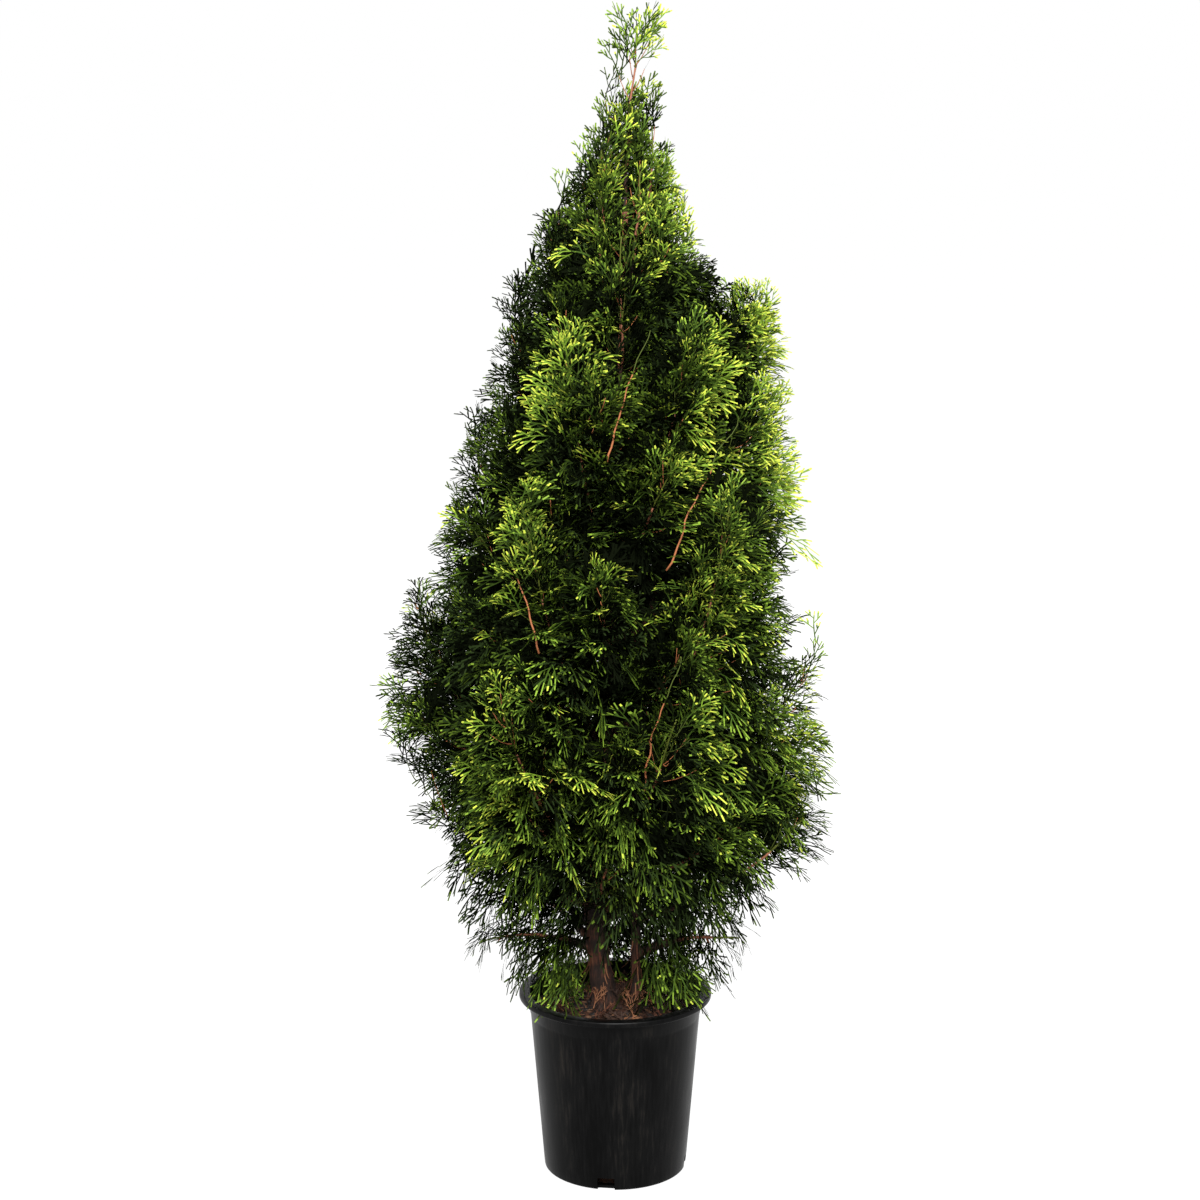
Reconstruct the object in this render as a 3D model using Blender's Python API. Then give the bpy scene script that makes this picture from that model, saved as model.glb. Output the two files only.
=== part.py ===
"""A young thuja in a black nursery pot, in metres, +Z up, origin at the centre of the pot's underside.

One trunk and one slim second stem rise from the filled pot. Boughs leave them and end where they enter
a mass of foliage. Each mass has one stem, twigs that branch from it by a seeded rule, flat toothed
sprays on the twigs and a small core inside, and keeps to its own convex share of the crown.
"""

import math
import random

import bmesh
import bpy
from mathutils import Matrix, Vector
from mathutils.bvhtree import BVHTree

# ---------------------------------------------------------------- driving sizes, in metres
POT_HEIGHT = 0.258
POT_BASE_RADIUS = 0.1000
POT_TOP_RADIUS = 0.1215
POT_LIP_RADIUS = 0.1350
POT_LIP_HEIGHT = 0.0080
POT_WALL = 0.0026
POT_FLOOR = 0.0040
POT_CORNER = 0.0030
POT_BAND_DROP = 0.0300
POT_BAND_STEP = 0.0009
POT_SIDES = 32
LIP_INSET = 0.4
SLOT_COUNT = 4
SLOT_WIDTH = 0.0240
SLOT_HEIGHT = 0.0180
SLOT_DEPTH = 0.0160
SLOT_OVERCUT = 0.0040
SLOT_TURN = math.radians(262.6)

SOIL_LEVEL = 0.2280
SOIL_DISH = 0.0060
TOUCH = 0.0003

# Stations of the trunk: height, sideways place, depth, radius. It leans left, then back to the middle.
TRUNK = (
    (SOIL_LEVEL + TOUCH, -0.010, -0.004, 0.0240),
    (0.245, -0.013, -0.004, 0.0182),
    (0.280, -0.020, -0.003, 0.0152),
    (0.360, -0.029, 0.000, 0.0140),
    (0.560, -0.016, 0.004, 0.0122),
    (0.800, -0.006, 0.002, 0.0100),
    (1.050, 0.002, 0.000, 0.0076),
    (1.220, 0.010, -0.002, 0.0060),
    (1.345, 0.013, 0.000, 0.0050),
)
# The second stem stands beside the trunk and leans out to the right, to the spire.
SECOND_STEM = (
    (SOIL_LEVEL + TOUCH, 0.0290, -0.020, 0.0100),
    (0.250, 0.0285, -0.021, 0.0078),
    (0.340, 0.0290, -0.024, 0.0070),
    (0.560, 0.0300, -0.030, 0.0062),
    (0.760, 0.0420, -0.034, 0.0054),
    (0.920, 0.0740, -0.030, 0.0046),
    (1.040, 0.1180, -0.018, 0.0038),
)

# Each tier of foliage: height where its boughs leave the trunk, height and radius of its tips,
# girth of a mass, share of the limb that is bare bough, and the directions its masses grow in, in
# degrees from +X. The front is at 270.
TIERS = {
    "shoulder": (1.070, 1.385, 0.094, 0.070, 0.00, (8, 95, 185, 275)),
    "upper": (0.850, 1.225, 0.162, 0.092, 0.15, (3, 82, 175, 245, 310)),
    "middle": (0.610, 1.020, 0.226, 0.110, 0.16, (22, 95, 167, 236, 312)),
    "broad": (0.430, 0.810, 0.284, 0.120, 0.17, (355, 52, 113, 178, 233, 292)),
    "low": (0.350, 0.585, 0.292, 0.116, 0.22, (340, 32, 90, 147, 200, 268)),
    "skirt": (0.318, 0.330, 0.236, 0.094, 0.26, (346, 60, 128, 196)),
}
# Masses that differ from their tier: foot, tip height, tip radius, girth.
OWN_SIZES = {
    ("shoulder", 8): (1.110, 1.368, 0.108, 0.064),
    ("shoulder", 185): (1.090, 1.390, 0.090, 0.068),
    ("shoulder", 275): (1.050, 1.350, 0.084, 0.066),
    ("upper", 3): (1.020, 1.262, 0.212, 0.064),
    ("upper", 175): (0.870, 1.268, 0.150, 0.088),
    ("middle", 22): (0.630, 1.095, 0.250, 0.106),
    ("middle", 167): (0.615, 1.095, 0.208, 0.104),
    ("broad", 355): (0.440, 0.820, 0.298, 0.118),
    ("broad", 178): (0.440, 0.870, 0.292, 0.118),
    ("low", 340): (0.370, 0.600, 0.316, 0.114),
    ("low", 200): (0.380, 0.676, 0.338, 0.116),
    ("low", 268): (0.380, 0.560, 0.240, 0.108),
}
SPIRE = ("upper", 3)
FROM_SECOND_STEM = (("middle", 312), ("broad", 355), ("low", 340), ("skirt", 346))
DROOPING = ("skirt",)
CROWN_TOP = 1.613
CROWN_TOP_PLACE = (0.034, 0.000)
CROWN_TIP_GIRTH = 0.074
CROWN_TIP_BEND = Vector((-0.008, 0.0, 0.0))

# How a limb runs: how deep it starts in its host as a share of the host's radius, how far out and how
# high its curve bends as shares of its reach and rise, and how far the spire and the skirt bow.
LIMB_ROOT = 0.4
BEND_OUT = 0.62
BEND_RISE = 0.34
SPIRE_BOW = 0.018
DROOP_BOW = 0.050
# How far leaves stand from the stem: least share of the girth, and where the fullest place lies.
REACH_LEAST = 0.34
REACH_SHIFT = 0.18
REACH_POWER = 0.95

DIRECTIONS = ("right", "back_right", "back", "back_left", "left", "front_left", "front", "front_right")

# The rule of growth inside a mass.
SEED = 41
STEM_SHARE = 0.80
BOUGH_RADIUS = 0.0052
STEM_RADIUS = 0.0042
STEM_TIP_RADIUS = 0.0020
TWIG_TURN = (12.0, -58.0, 50.0)
TWIG_ANGLE_FOOT = math.radians(62)
TWIG_ANGLE_TIP = math.radians(34)
TWIG_RADIUS = 0.0024
STEM_SIDES = 4
TWIG_SIDES = 3
TWIG_SHARE = 0.62
TWIG_TAPER = 0.6
TWIG_SINK = 0.001
TWIG_PLACE_SPREAD = 0.03
TWIG_TURN_SPREAD = 12
TWIG_LENGTHS = (0.92, 1.06)
SPRAY_SHARE = 0.78
SPRAY_WIDTH = 0.74
SPRAY_THICK = 0.0028
SPRAY_SINK = 0.010
SPRAY_CURL = 0.10
# The tip spray ends this share of the twig's length out. The side spray leaves it lower down, aside.
TIP_SPRAY_END = 1.14
SIDE_SPRAY_PLACE = 0.34
SIDE_SPRAY_ANGLE = math.radians(50)
SPRAY_TILT = 50
SIDE_SPRAY_TILT = 30
TOP_SPRAY_TILT = 0.9
TOP_SPRAY_SINK = 0.008
SPRAY_TRIES = (1.0, 0.85, 0.7, 0.55)
CORE_SHARE = 0.62
CORE_SIDES = 6
CORE_STOPS = (0.12, 0.46, 0.80)
CORE_ENDS = (0.02, 1.0)
CORE_END_GIRTH = 0.80
SPACE_GAP = 0.0015
# A mass's place and weight when the crown is shared out between the masses.
SPACE_MIDDLE = 0.48
SPACE_WEIGHT = 1.3
LIMB_GAP = 0.0020
BOUGH_SIDES = 6
BOUGH_STATIONS = 3
TRUNK_SIDES = 12
SECOND_STEM_SIDES = 8
SPACE_FLATTEN = 0.62
ALONG_STEM = (0.14, 0.40, 0.68)

# A toothed spray: share of its length and width at each finger's tip and at each notch between them.
FINGER_TIPS = ((0.52, -0.50), (0.84, -0.37), (1.00, 0.02), (0.75, 0.43), (0.41, 0.52))
NOTCHES = ((0.47, -0.13), (0.72, -0.07), (0.66, 0.09), (0.39, 0.14))
SPRAY_ROOT = 0.045


# ---------------------------------------------------------------- helpers
def clear_scene():
    for old in list(bpy.data.objects):
        bpy.data.objects.remove(old)


def finish(name, hex_colour, roughness):
    """A Principled material from an sRGB hex colour."""
    made = bpy.data.materials.new(name)
    made.use_nodes = True
    shader = made.node_tree.nodes["Principled BSDF"]
    channels = [int(hex_colour[i : i + 2], 16) / 255 for i in (1, 3, 5)]
    linear = [c / 12.92 if c <= 0.04045 else ((c + 0.055) / 1.055) ** 2.4 for c in channels]
    shader.inputs["Base Color"].default_value = (*linear, 1.0)
    shader.inputs["Roughness"].default_value = roughness
    shader.inputs["Metallic"].default_value = 0.0
    return made


def object_of(name, shape, material=None, smooth=False):
    """A scene object that takes over the bmesh."""
    bmesh.ops.recalc_face_normals(shape, faces=shape.faces)
    mesh = bpy.data.meshes.new(name)
    shape.to_mesh(mesh)
    shape.free()
    made = bpy.data.objects.new(name, mesh)
    bpy.context.scene.collection.objects.link(made)
    if material:
        mesh.materials.append(material)
    if smooth:
        mesh.shade_smooth()
        mesh.set_sharp_from_angle(angle=math.radians(35))
    return made


def apply_modifiers(target):
    """Makes what the modifiers give the object's own mesh."""
    graph = bpy.context.evaluated_depsgraph_get()
    applied = bpy.data.meshes.new_from_object(target.evaluated_get(graph))
    target.modifiers.clear()
    target.data = applied


def polar(radius, azimuth, height):
    return Vector((radius * math.cos(azimuth), radius * math.sin(azimuth), height))


def cut_by(target, cutters):
    """Takes each cutter's shape out of the target."""
    for cutter in cutters:
        cut = target.modifiers.new("cut", "BOOLEAN")
        cut.operation = "DIFFERENCE"
        cut.object = cutter
        cut.solver = "EXACT"
    apply_modifiers(target)


def path_of(stations):
    return [(Vector((x, y, z)), radius) for z, x, y, radius in stations]


def bezier(start, middle, end, t):
    return start * (1 - t) ** 2 + middle * (2 * t * (1 - t)) + end * t**2


def add_tube(shape, path, sides, first_face=None, last_face=None):
    """A closed tapering tube along (point, radius) pairs. Its end faces may be slanted to given normals."""
    rings = []
    across = None
    slants = {0: first_face, len(path) - 1: last_face}
    for i, (place, radius) in enumerate(path):
        ahead = path[min(i + 1, len(path) - 1)][0] - path[max(i - 1, 0)][0]
        ahead.normalize()
        slant = slants.get(i)
        if across is None:
            across = ahead.orthogonal()
        across = (across - ahead * across.dot(ahead)).normalized()
        other = ahead.cross(across)
        ring = []
        for k in range(sides):
            turn = 2 * math.pi * k / sides
            offset = (across * math.cos(turn) + other * math.sin(turn)) * radius
            if slant:
                offset -= ahead * (offset.dot(slant) / ahead.dot(slant))
            ring.append(shape.verts.new(place + offset))
        rings.append(ring)
    for low, high in zip(rings, rings[1:]):
        for k in range(sides):
            j = (k + 1) % sides
            shape.faces.new((low[k], low[j], high[j], high[k]))
    shape.faces.new(reversed(rings[0]))
    shape.faces.new(rings[-1])


def tube_object(name, path, sides, material, first_face=None, last_face=None, smooth=True):
    shape = bmesh.new()
    add_tube(shape, path, sides, first_face, last_face)
    return object_of(name, shape, material, smooth)


# ---------------------------------------------------------------- pot and soil
def wall_radius(height):
    """The pot's outer radius on its plain tapering wall."""
    return POT_BASE_RADIUS + (POT_TOP_RADIUS - POT_BASE_RADIUS) * height / POT_HEIGHT


def turned(name, profile, material):
    """A solid turned about Z from (radius, height) points that start and end on the axis."""
    shape = bmesh.new()
    points = [shape.verts.new((radius, 0, height)) for radius, height in profile]
    edges = [shape.edges.new(pair) for pair in zip(points, points[1:])]
    bmesh.ops.spin(
        shape,
        geom=points + edges,
        axis=(0, 0, 1),
        cent=(0, 0, 0),
        angle=2 * math.pi,
        steps=POT_SIDES,
        use_merge=True,
    )
    bmesh.ops.remove_doubles(shape, verts=shape.verts, dist=1e-6)
    return object_of(name, shape, material, smooth=True)


def add_box(shape, centre, size, turn):
    """A box turned about Z."""
    place = Matrix.Rotation(turn, 4, "Z") @ Matrix.Translation(centre)
    bmesh.ops.create_cube(shape, size=1.0, matrix=place @ Matrix.Diagonal((*size, 1)))


def make_pot(material):
    band = POT_HEIGHT - POT_BAND_DROP
    lip_foot = POT_HEIGHT - POT_LIP_HEIGHT
    lip_inner = POT_TOP_RADIUS - POT_WALL * LIP_INSET
    profile = (
        (0.0, 0.0),
        (POT_BASE_RADIUS - POT_CORNER, 0.0),
        (wall_radius(POT_CORNER), POT_CORNER),
        (wall_radius(band), band),
        (wall_radius(band) + POT_BAND_STEP, band + 0.0012),
        (wall_radius(lip_foot) + POT_BAND_STEP, lip_foot),
        (POT_LIP_RADIUS - 0.0016, lip_foot - 0.0004),
        (POT_LIP_RADIUS, lip_foot + 0.0018),
        (POT_LIP_RADIUS - 0.0008, POT_HEIGHT - 0.0016),
        (POT_LIP_RADIUS - 0.0030, POT_HEIGHT),
        (lip_inner + 0.0014, POT_HEIGHT),
        (lip_inner, POT_HEIGHT - 0.0020),
        (wall_radius(POT_FLOOR) - POT_WALL, POT_FLOOR),
        (0.0, POT_FLOOR),
    )
    pot = turned("pot", profile, material)
    shape = bmesh.new()
    for k in range(SLOT_COUNT):
        turn = SLOT_TURN + 2 * math.pi * k / SLOT_COUNT
        centre = (POT_BASE_RADIUS, 0, SLOT_HEIGHT / 2 - SLOT_OVERCUT / 2)
        add_box(shape, centre, (SLOT_DEPTH, SLOT_WIDTH, SLOT_HEIGHT + SLOT_OVERCUT), turn)
    cutter = object_of("slot_cutter", shape)
    cutter.hide_render = True
    cutter.display_type = "WIRE"
    cut = pot.modifiers.new("slots", "BOOLEAN")
    cut.operation = "DIFFERENCE"
    cut.object = cutter
    cut.solver = "EXACT"
    return pot


def make_soil(material):
    """The root ball and its dressing fill the pot to a little under the lip."""
    low = POT_FLOOR + TOUCH
    edge = SOIL_LEVEL + SOIL_DISH * 0.3
    clear = POT_WALL + TOUCH * 1.4
    profile = (
        (0.0, low),
        (wall_radius(low) - clear, low),
        (wall_radius(edge) - clear, edge),
        (0.100, SOIL_LEVEL - SOIL_DISH * 0.3),
        (0.075, SOIL_LEVEL + SOIL_DISH * 0.2),
        (0.058, SOIL_LEVEL),
        (0.0, SOIL_LEVEL),
    )
    return turned("soil", profile, material)


# ---------------------------------------------------------------- where the foliage goes
def place_on(stations, height):
    """Centre and radius of a limb at a height."""
    for low, high in zip(stations, stations[1:]):
        if low[0] <= height <= high[0]:
            t = (height - low[0]) / (high[0] - low[0])
            _, x, y, radius = (a + (b - a) * t for a, b in zip(low, high))
            return Vector((x, y, height)), radius
    end = stations[-1]
    return Vector((end[1], end[2], end[0])), end[3]


class Mass:
    """One mass of foliage: the curve of its limb, its girth and its place in the crown."""

    def __init__(self, tier, azimuth, sizes, bare):
        foot, tip_height, tip_radius, girth = sizes
        self.tier = tier
        self.azimuth = math.radians(azimuth)
        self.girth = girth
        self.bare = bare
        self.random = random.Random(f"{SEED} {tier} {azimuth}")
        self.on_top = (tier, azimuth) == SPIRE
        compass = DIRECTIONS[round(azimuth / 45) % 8]
        self.name = f"{tier}_{compass}"
        self.tip = polar(tip_radius, self.azimuth, tip_height)
        outward = polar(1.0, self.azimuth, 0.0)
        if self.on_top:
            self.start = place_on(SECOND_STEM, SECOND_STEM[-1][0])[0] + Vector((0, 0, TOUCH))
            self.bend = self.start.lerp(self.tip, 0.5) + outward * SPIRE_BOW
            self.bare = 0.0
        else:
            host = SECOND_STEM if (tier, azimuth) in FROM_SECOND_STEM else TRUNK
            centre, radius = place_on(host, foot)
            heading = (self.tip - centre) * Vector((1, 1, 0))
            heading.normalize()
            self.start = centre + heading * (radius * LIMB_ROOT)
            rise = tip_height - foot
            if tier in DROOPING:
                self.bend = self.start.lerp(self.tip, 0.5) + Vector((0, 0, DROOP_BOW))
            else:
                self.bend = self.start + heading * (tip_radius * BEND_OUT)
                self.bend.z = foot + rise * BEND_RISE

    def along(self, t):
        """A point of the limb: 0 at its foot, 1 at the furthest leaf."""
        return bezier(self.start, self.bend, self.tip, t)

    def heading(self, t):
        return (self.along(min(t + 0.02, 1.0)) - self.along(max(t - 0.02, 0.0))).normalized()

    def stem_at(self, s):
        """Share of the whole limb at share s of its leafy part."""
        return self.bare + (1 - self.bare) * s

    def reach(self, s):
        """How far leaves stand from the stem: a flame shape, full below and pointed above."""
        swell = math.sin(math.pi * min(s + REACH_SHIFT, 1.0) ** REACH_POWER)
        return self.girth * (REACH_LEAST + (1 - REACH_LEAST) * swell)


class CrownTip(Mass):
    """The open tuft at the top, on the end of the trunk."""

    def __init__(self):
        top = TRUNK[-1]
        self.tier = "crown"
        self.name = "crown_tip"
        self.azimuth = math.radians(270)
        self.girth = CROWN_TIP_GIRTH
        self.bare = 0.0
        self.random = random.Random(f"{SEED} crown tip")
        self.on_top = True
        self.start = Vector((top[1], top[2], top[0] + TOUCH))
        self.tip = Vector((*CROWN_TOP_PLACE, CROWN_TOP))
        self.bend = self.start.lerp(self.tip, 0.5) + CROWN_TIP_BEND


def all_masses():
    found = [CrownTip()]
    for tier, (foot, height, radius, girth, bare, azimuths) in TIERS.items():
        for azimuth in azimuths:
            sizes = OWN_SIZES.get((tier, azimuth), (foot, height, radius, girth))
            found.append(Mass(tier, azimuth, sizes, bare))
    return found


def space_of(mass, masses):
    """The mass's own space: planes (normal, limit) between it and every other mass.

    A point is inside where normal . point is under the limit of every plane.
    """
    squash = Vector((1.0, 1.0, SPACE_FLATTEN))

    def site(m):
        middle = m.along(m.stem_at(SPACE_MIDDLE)) * squash
        return middle, m.girth**2 * SPACE_WEIGHT

    own, own_weight = site(mass)
    planes = []
    for other in masses:
        if other is mass:
            continue
        theirs, weight = site(other)
        normal = (theirs - own) * squash * 2
        limit = theirs.length_squared - own.length_squared - weight + own_weight
        size = normal.length
        planes.append((normal / size, limit / size - SPACE_GAP))
    return planes


def inside(planes, points):
    return all(normal.dot(p) < limit for normal, limit in planes for p in points)


# ---------------------------------------------------------------- twigs, sprays and core
def twigs_of(mass):
    """The rule of growth: (share of the stem, start, direction, length) of each twig."""
    found = []
    for place, twig_turn in zip(ALONG_STEM, TWIG_TURN):
        s = place + mass.random.uniform(-TWIG_PLACE_SPREAD, TWIG_PLACE_SPREAD)
        t = mass.stem_at(s * STEM_SHARE)
        ahead = mass.heading(t)
        outward = polar(1.0, mass.azimuth, 0.0)
        outward = (outward - ahead * outward.dot(ahead)).normalized()
        sideways = ahead.cross(outward)
        turn = math.radians(twig_turn + mass.random.uniform(-TWIG_TURN_SPREAD, TWIG_TURN_SPREAD))
        angle = TWIG_ANGLE_FOOT + (TWIG_ANGLE_TIP - TWIG_ANGLE_FOOT) * s
        spread = outward * math.cos(turn) + sideways * math.sin(turn)
        direction = ahead * math.cos(angle) + spread * math.sin(angle)
        length = mass.reach(s) / math.sin(angle) * mass.random.uniform(*TWIG_LENGTHS)
        found.append((s, mass.along(t), direction.normalized(), length))
    return found


def sprays_of(mass, start, direction, length):
    """Root, direction, face normal and length of the sprays on one twig: one at its tip, one on its side."""
    outward = polar(1.0, mass.azimuth, 0.0)
    flat = direction.cross(outward)
    flat = flat.normalized() if flat.length > 0.05 else direction.orthogonal().normalized()
    tilt = Matrix.Rotation(math.radians(mass.random.uniform(-SPRAY_TILT, SPRAY_TILT)), 3, direction)
    normal = tilt @ flat
    side = direction.cross(normal) * mass.random.choice((-1, 1))
    tip_root = start + direction * (length * (TIP_SPRAY_END - SPRAY_SHARE))
    yield tip_root, direction, normal, length * SPRAY_SHARE
    aside = (direction * math.cos(SIDE_SPRAY_ANGLE) + side * math.sin(SIDE_SPRAY_ANGLE)).normalized()
    turn = math.radians(mass.random.uniform(-SIDE_SPRAY_TILT, SIDE_SPRAY_TILT))
    side_normal = Matrix.Rotation(turn, 3, aside) @ normal
    yield start + direction * (length * SIDE_SPRAY_PLACE), aside, side_normal, length * SPRAY_SHARE


def spray_shape(root, direction, normal, length):
    """One flat toothed spray: thick at the palm, its five fingers drawn out to points, curled a little."""
    side = direction.cross(normal).normalized()
    normal = side.cross(direction).normalized()
    width = length * SPRAY_WIDTH
    begin = root - direction * SPRAY_SINK

    def at(u, v):
        curl = normal * (-SPRAY_CURL * length * u * u)
        return begin + direction * (u * (length + SPRAY_SINK)) + side * (v * width) + curl

    palm = [(0.0, -SPRAY_ROOT), *NOTCHES, (0.0, SPRAY_ROOT)]
    half = normal * (SPRAY_THICK / 2)
    upper = [at(u, v) + half for u, v in palm]
    lower = [at(u, v) - half for u, v in palm]
    tips = [at(u, v) for u, v in FINGER_TIPS]
    return upper, lower, tips


def add_spray(shape, parts):
    """Adds the faces of one spray's two palms, its root and its fingers."""
    upper, lower, tips = ([shape.verts.new(p) for p in points] for points in parts)
    shape.faces.new(upper)
    shape.faces.new(reversed(lower))
    shape.faces.new((upper[0], upper[-1], lower[-1], lower[0]))
    for k, tip in enumerate(tips):
        shape.faces.new((upper[k], tip, upper[k + 1]))
        shape.faces.new((lower[k + 1], tip, lower[k]))
        shape.faces.new((upper[k], lower[k], tip))
        shape.faces.new((lower[k + 1], upper[k + 1], tip))


def core_of(mass, planes):
    """A small spindle inside the mass, cut back to the mass's own space."""
    shape = bmesh.new()
    rings = []
    for s in CORE_STOPS:
        t = mass.stem_at(s * STEM_SHARE)
        ahead = mass.heading(t)
        across = ahead.orthogonal().normalized()
        other = ahead.cross(across)
        radius = mass.reach(s) * CORE_SHARE
        if s in (CORE_STOPS[0], CORE_STOPS[-1]):
            radius *= CORE_END_GIRTH
        turns = [2 * math.pi * k / CORE_SIDES for k in range(CORE_SIDES)]
        centre = mass.along(t)
        rings += [centre + (across * math.cos(a) + other * math.sin(a)) * radius for a in turns]
    ends = [mass.along(mass.stem_at(s * STEM_SHARE)) for s in CORE_ENDS]
    for point in rings + ends:
        shape.verts.new(point)
    hull = bmesh.ops.convex_hull(shape, input=shape.verts)
    inner = hull["geom_interior"] + hull["geom_unused"]
    spare = list({item for item in inner if isinstance(item, bmesh.types.BMVert)})
    bmesh.ops.delete(shape, geom=spare, context="VERTS")
    for normal, limit in planes:
        if all(normal.dot(v.co) < limit for v in shape.verts):
            continue
        bmesh.ops.bisect_plane(
            shape,
            geom=shape.verts[:] + shape.edges[:] + shape.faces[:],
            plane_co=normal * (limit - SPACE_GAP),
            plane_no=normal,
            clear_outer=True,
        )
        rim = [edge for edge in shape.edges if edge.is_boundary]
        bmesh.ops.contextual_create(shape, geom=rim)
    return shape


def tree_of(sleeves):
    """One search tree of the sleeves' faces."""
    points, faces = [], []
    for sleeve in sleeves:
        base = len(points)
        points += [v.co.copy() for v in sleeve.data.vertices]
        faces += [[base + i for i in p.vertices] for p in sleeve.data.polygons]
    return BVHTree.FromPolygons(points, faces)


def touches(parts, limbs):
    """Whether a spray or twig would touch a limb's sleeve."""
    if isinstance(parts, bmesh.types.BMesh):
        return bool(BVHTree.FromBMesh(parts).overlap(limbs))
    shape = bmesh.new()
    add_spray(shape, parts)
    found = bool(BVHTree.FromBMesh(shape).overlap(limbs))
    shape.free()
    return found


def biggest_piece(target):
    """Drops loose scraps, so that the node is one body."""
    shape = bmesh.new()
    shape.from_mesh(target.data)
    left = set(shape.verts)
    groups = []
    while left:
        stack = [left.pop()]
        group = set(stack)
        while stack:
            for edge in stack.pop().link_edges:
                for vert in edge.verts:
                    if vert in left:
                        left.remove(vert)
                        group.add(vert)
                        stack.append(vert)
        groups.append(group)
    groups.sort(key=len)
    for group in groups[:-1]:
        bmesh.ops.delete(shape, geom=list(group), context="VERTS")
    shape.to_mesh(target.data)
    shape.free()


def stem_path_of(mass):
    """The stem inside the leaves, from its bough's tip or its limb towards the mass's own tip."""
    path = []
    for s in (0.0, 0.5, 1.0):
        t = mass.stem_at(s * STEM_SHARE)
        path.append((mass.along(t), STEM_RADIUS + (STEM_TIP_RADIUS - STEM_RADIUS) * s))
    return path


def make_foliage(mass, masses, sleeves, limb_faces, material):
    """Stem, core, twigs and sprays of one mass, joined into one solid clear of the sleeves."""
    planes = space_of(mass, masses)
    limbs = tree_of(sleeves)
    name = f"foliage_{mass.name}"
    stem_path = stem_path_of(mass)
    first_face = Vector((0, 0, 1)) if mass.on_top else None
    if mass.bare > 0:
        first_face = mass.heading(mass.bare)
        stem_path[0] = (stem_path[0][0] + first_face * TOUCH, stem_path[0][1])
    stem = tube_object(name, stem_path, STEM_SIDES, material, first_face, smooth=False)

    loose = bpy.data.collections.new(name + "_pieces")
    bpy.context.scene.collection.children.link(loose)

    def keep(shape, label):
        piece = object_of(f"{name}_{label}", shape)
        bpy.context.scene.collection.objects.unlink(piece)
        loose.objects.link(piece)

    core = object_of(name + "_core", core_of(mass, planes))
    cut_by(core, sleeves)
    bpy.context.scene.collection.objects.unlink(core)
    loose.objects.link(core)

    end = mass.stem_at(STEM_SHARE)
    blades = []
    for k, (s, start, direction, length) in enumerate(twigs_of(mass)):
        roots = list(sprays_of(mass, start, direction, length))
        shape = bmesh.new()
        twig_foot = start - direction * TWIG_SINK
        twig_tip = start + direction * length * TWIG_SHARE
        add_tube(shape, [(twig_foot, TWIG_RADIUS), (twig_tip, TWIG_RADIUS * TWIG_TAPER)], TWIG_SIDES)
        corners = [v.co.copy() for v in shape.verts][TWIG_SIDES:]
        if inside(planes, corners) and not touches(shape, limbs):
            keep(shape, f"twig_{k}")
            blades += roots
        else:
            shape.free()
    ahead = mass.heading(end)
    tilt = mass.random.uniform(-TOP_SPRAY_TILT, TOP_SPRAY_TILT)
    top_normal = Matrix.Rotation(tilt, 3, ahead) @ ahead.orthogonal().normalized()
    top_root = mass.along(end) - ahead * TOP_SPRAY_SINK
    blades.append((top_root, ahead, top_normal, (mass.tip - mass.along(end)).length + TOP_SPRAY_SINK))
    for k, (root, direction, normal, length) in enumerate(blades):
        for shorten in SPRAY_TRIES:
            parts = spray_shape(root, direction, normal, length * shorten)
            if inside(planes, parts[0] + parts[1] + parts[2]) and not touches(parts, limbs):
                shape = bmesh.new()
                add_spray(shape, parts)
                keep(shape, f"spray_{k}")
                break
    join = stem.modifiers.new("join", "BOOLEAN")
    join.operation = "UNION"
    join.operand_type = "COLLECTION"
    join.collection = loose
    join.solver = "EXACT"
    apply_modifiers(stem)
    cut_by(stem, limb_faces)
    for piece in list(loose.objects):
        bpy.data.objects.remove(piece)
    bpy.data.collections.remove(loose)
    biggest_piece(stem)
    stem.data.materials.clear()
    stem.data.materials.append(material)
    return stem


# ---------------------------------------------------------------- limbs
def make_bough(mass, limb_faces, material):
    """The bare lower part of a mass's limb, from the trunk's face to where it enters the leaves."""
    path = []
    for k in range(BOUGH_STATIONS):
        share = k / (BOUGH_STATIONS - 1)
        radius = BOUGH_RADIUS + (STEM_RADIUS - BOUGH_RADIUS) * share
        path.append((mass.along(mass.bare * share), radius))
    bough = tube_object(f"bough_{mass.name}", path, BOUGH_SIDES, material, None, mass.heading(mass.bare))
    cut_by(bough, limb_faces)
    return path


def sleeve_of(path, name, sides, gap):
    """A tube that is wider than a limb by the gap, for keeping other pieces clear of it."""
    ahead = (path[-1][0] - path[-2][0]).normalized()
    wide = [(place, radius + gap) for place, radius in path]
    wide[-1] = (wide[-1][0] + ahead * gap, wide[-1][1])
    shape = bmesh.new()
    add_tube(shape, wide, sides)
    made = object_of(name, shape)
    made.hide_render = True
    made.display_type = "WIRE"
    return made


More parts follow.
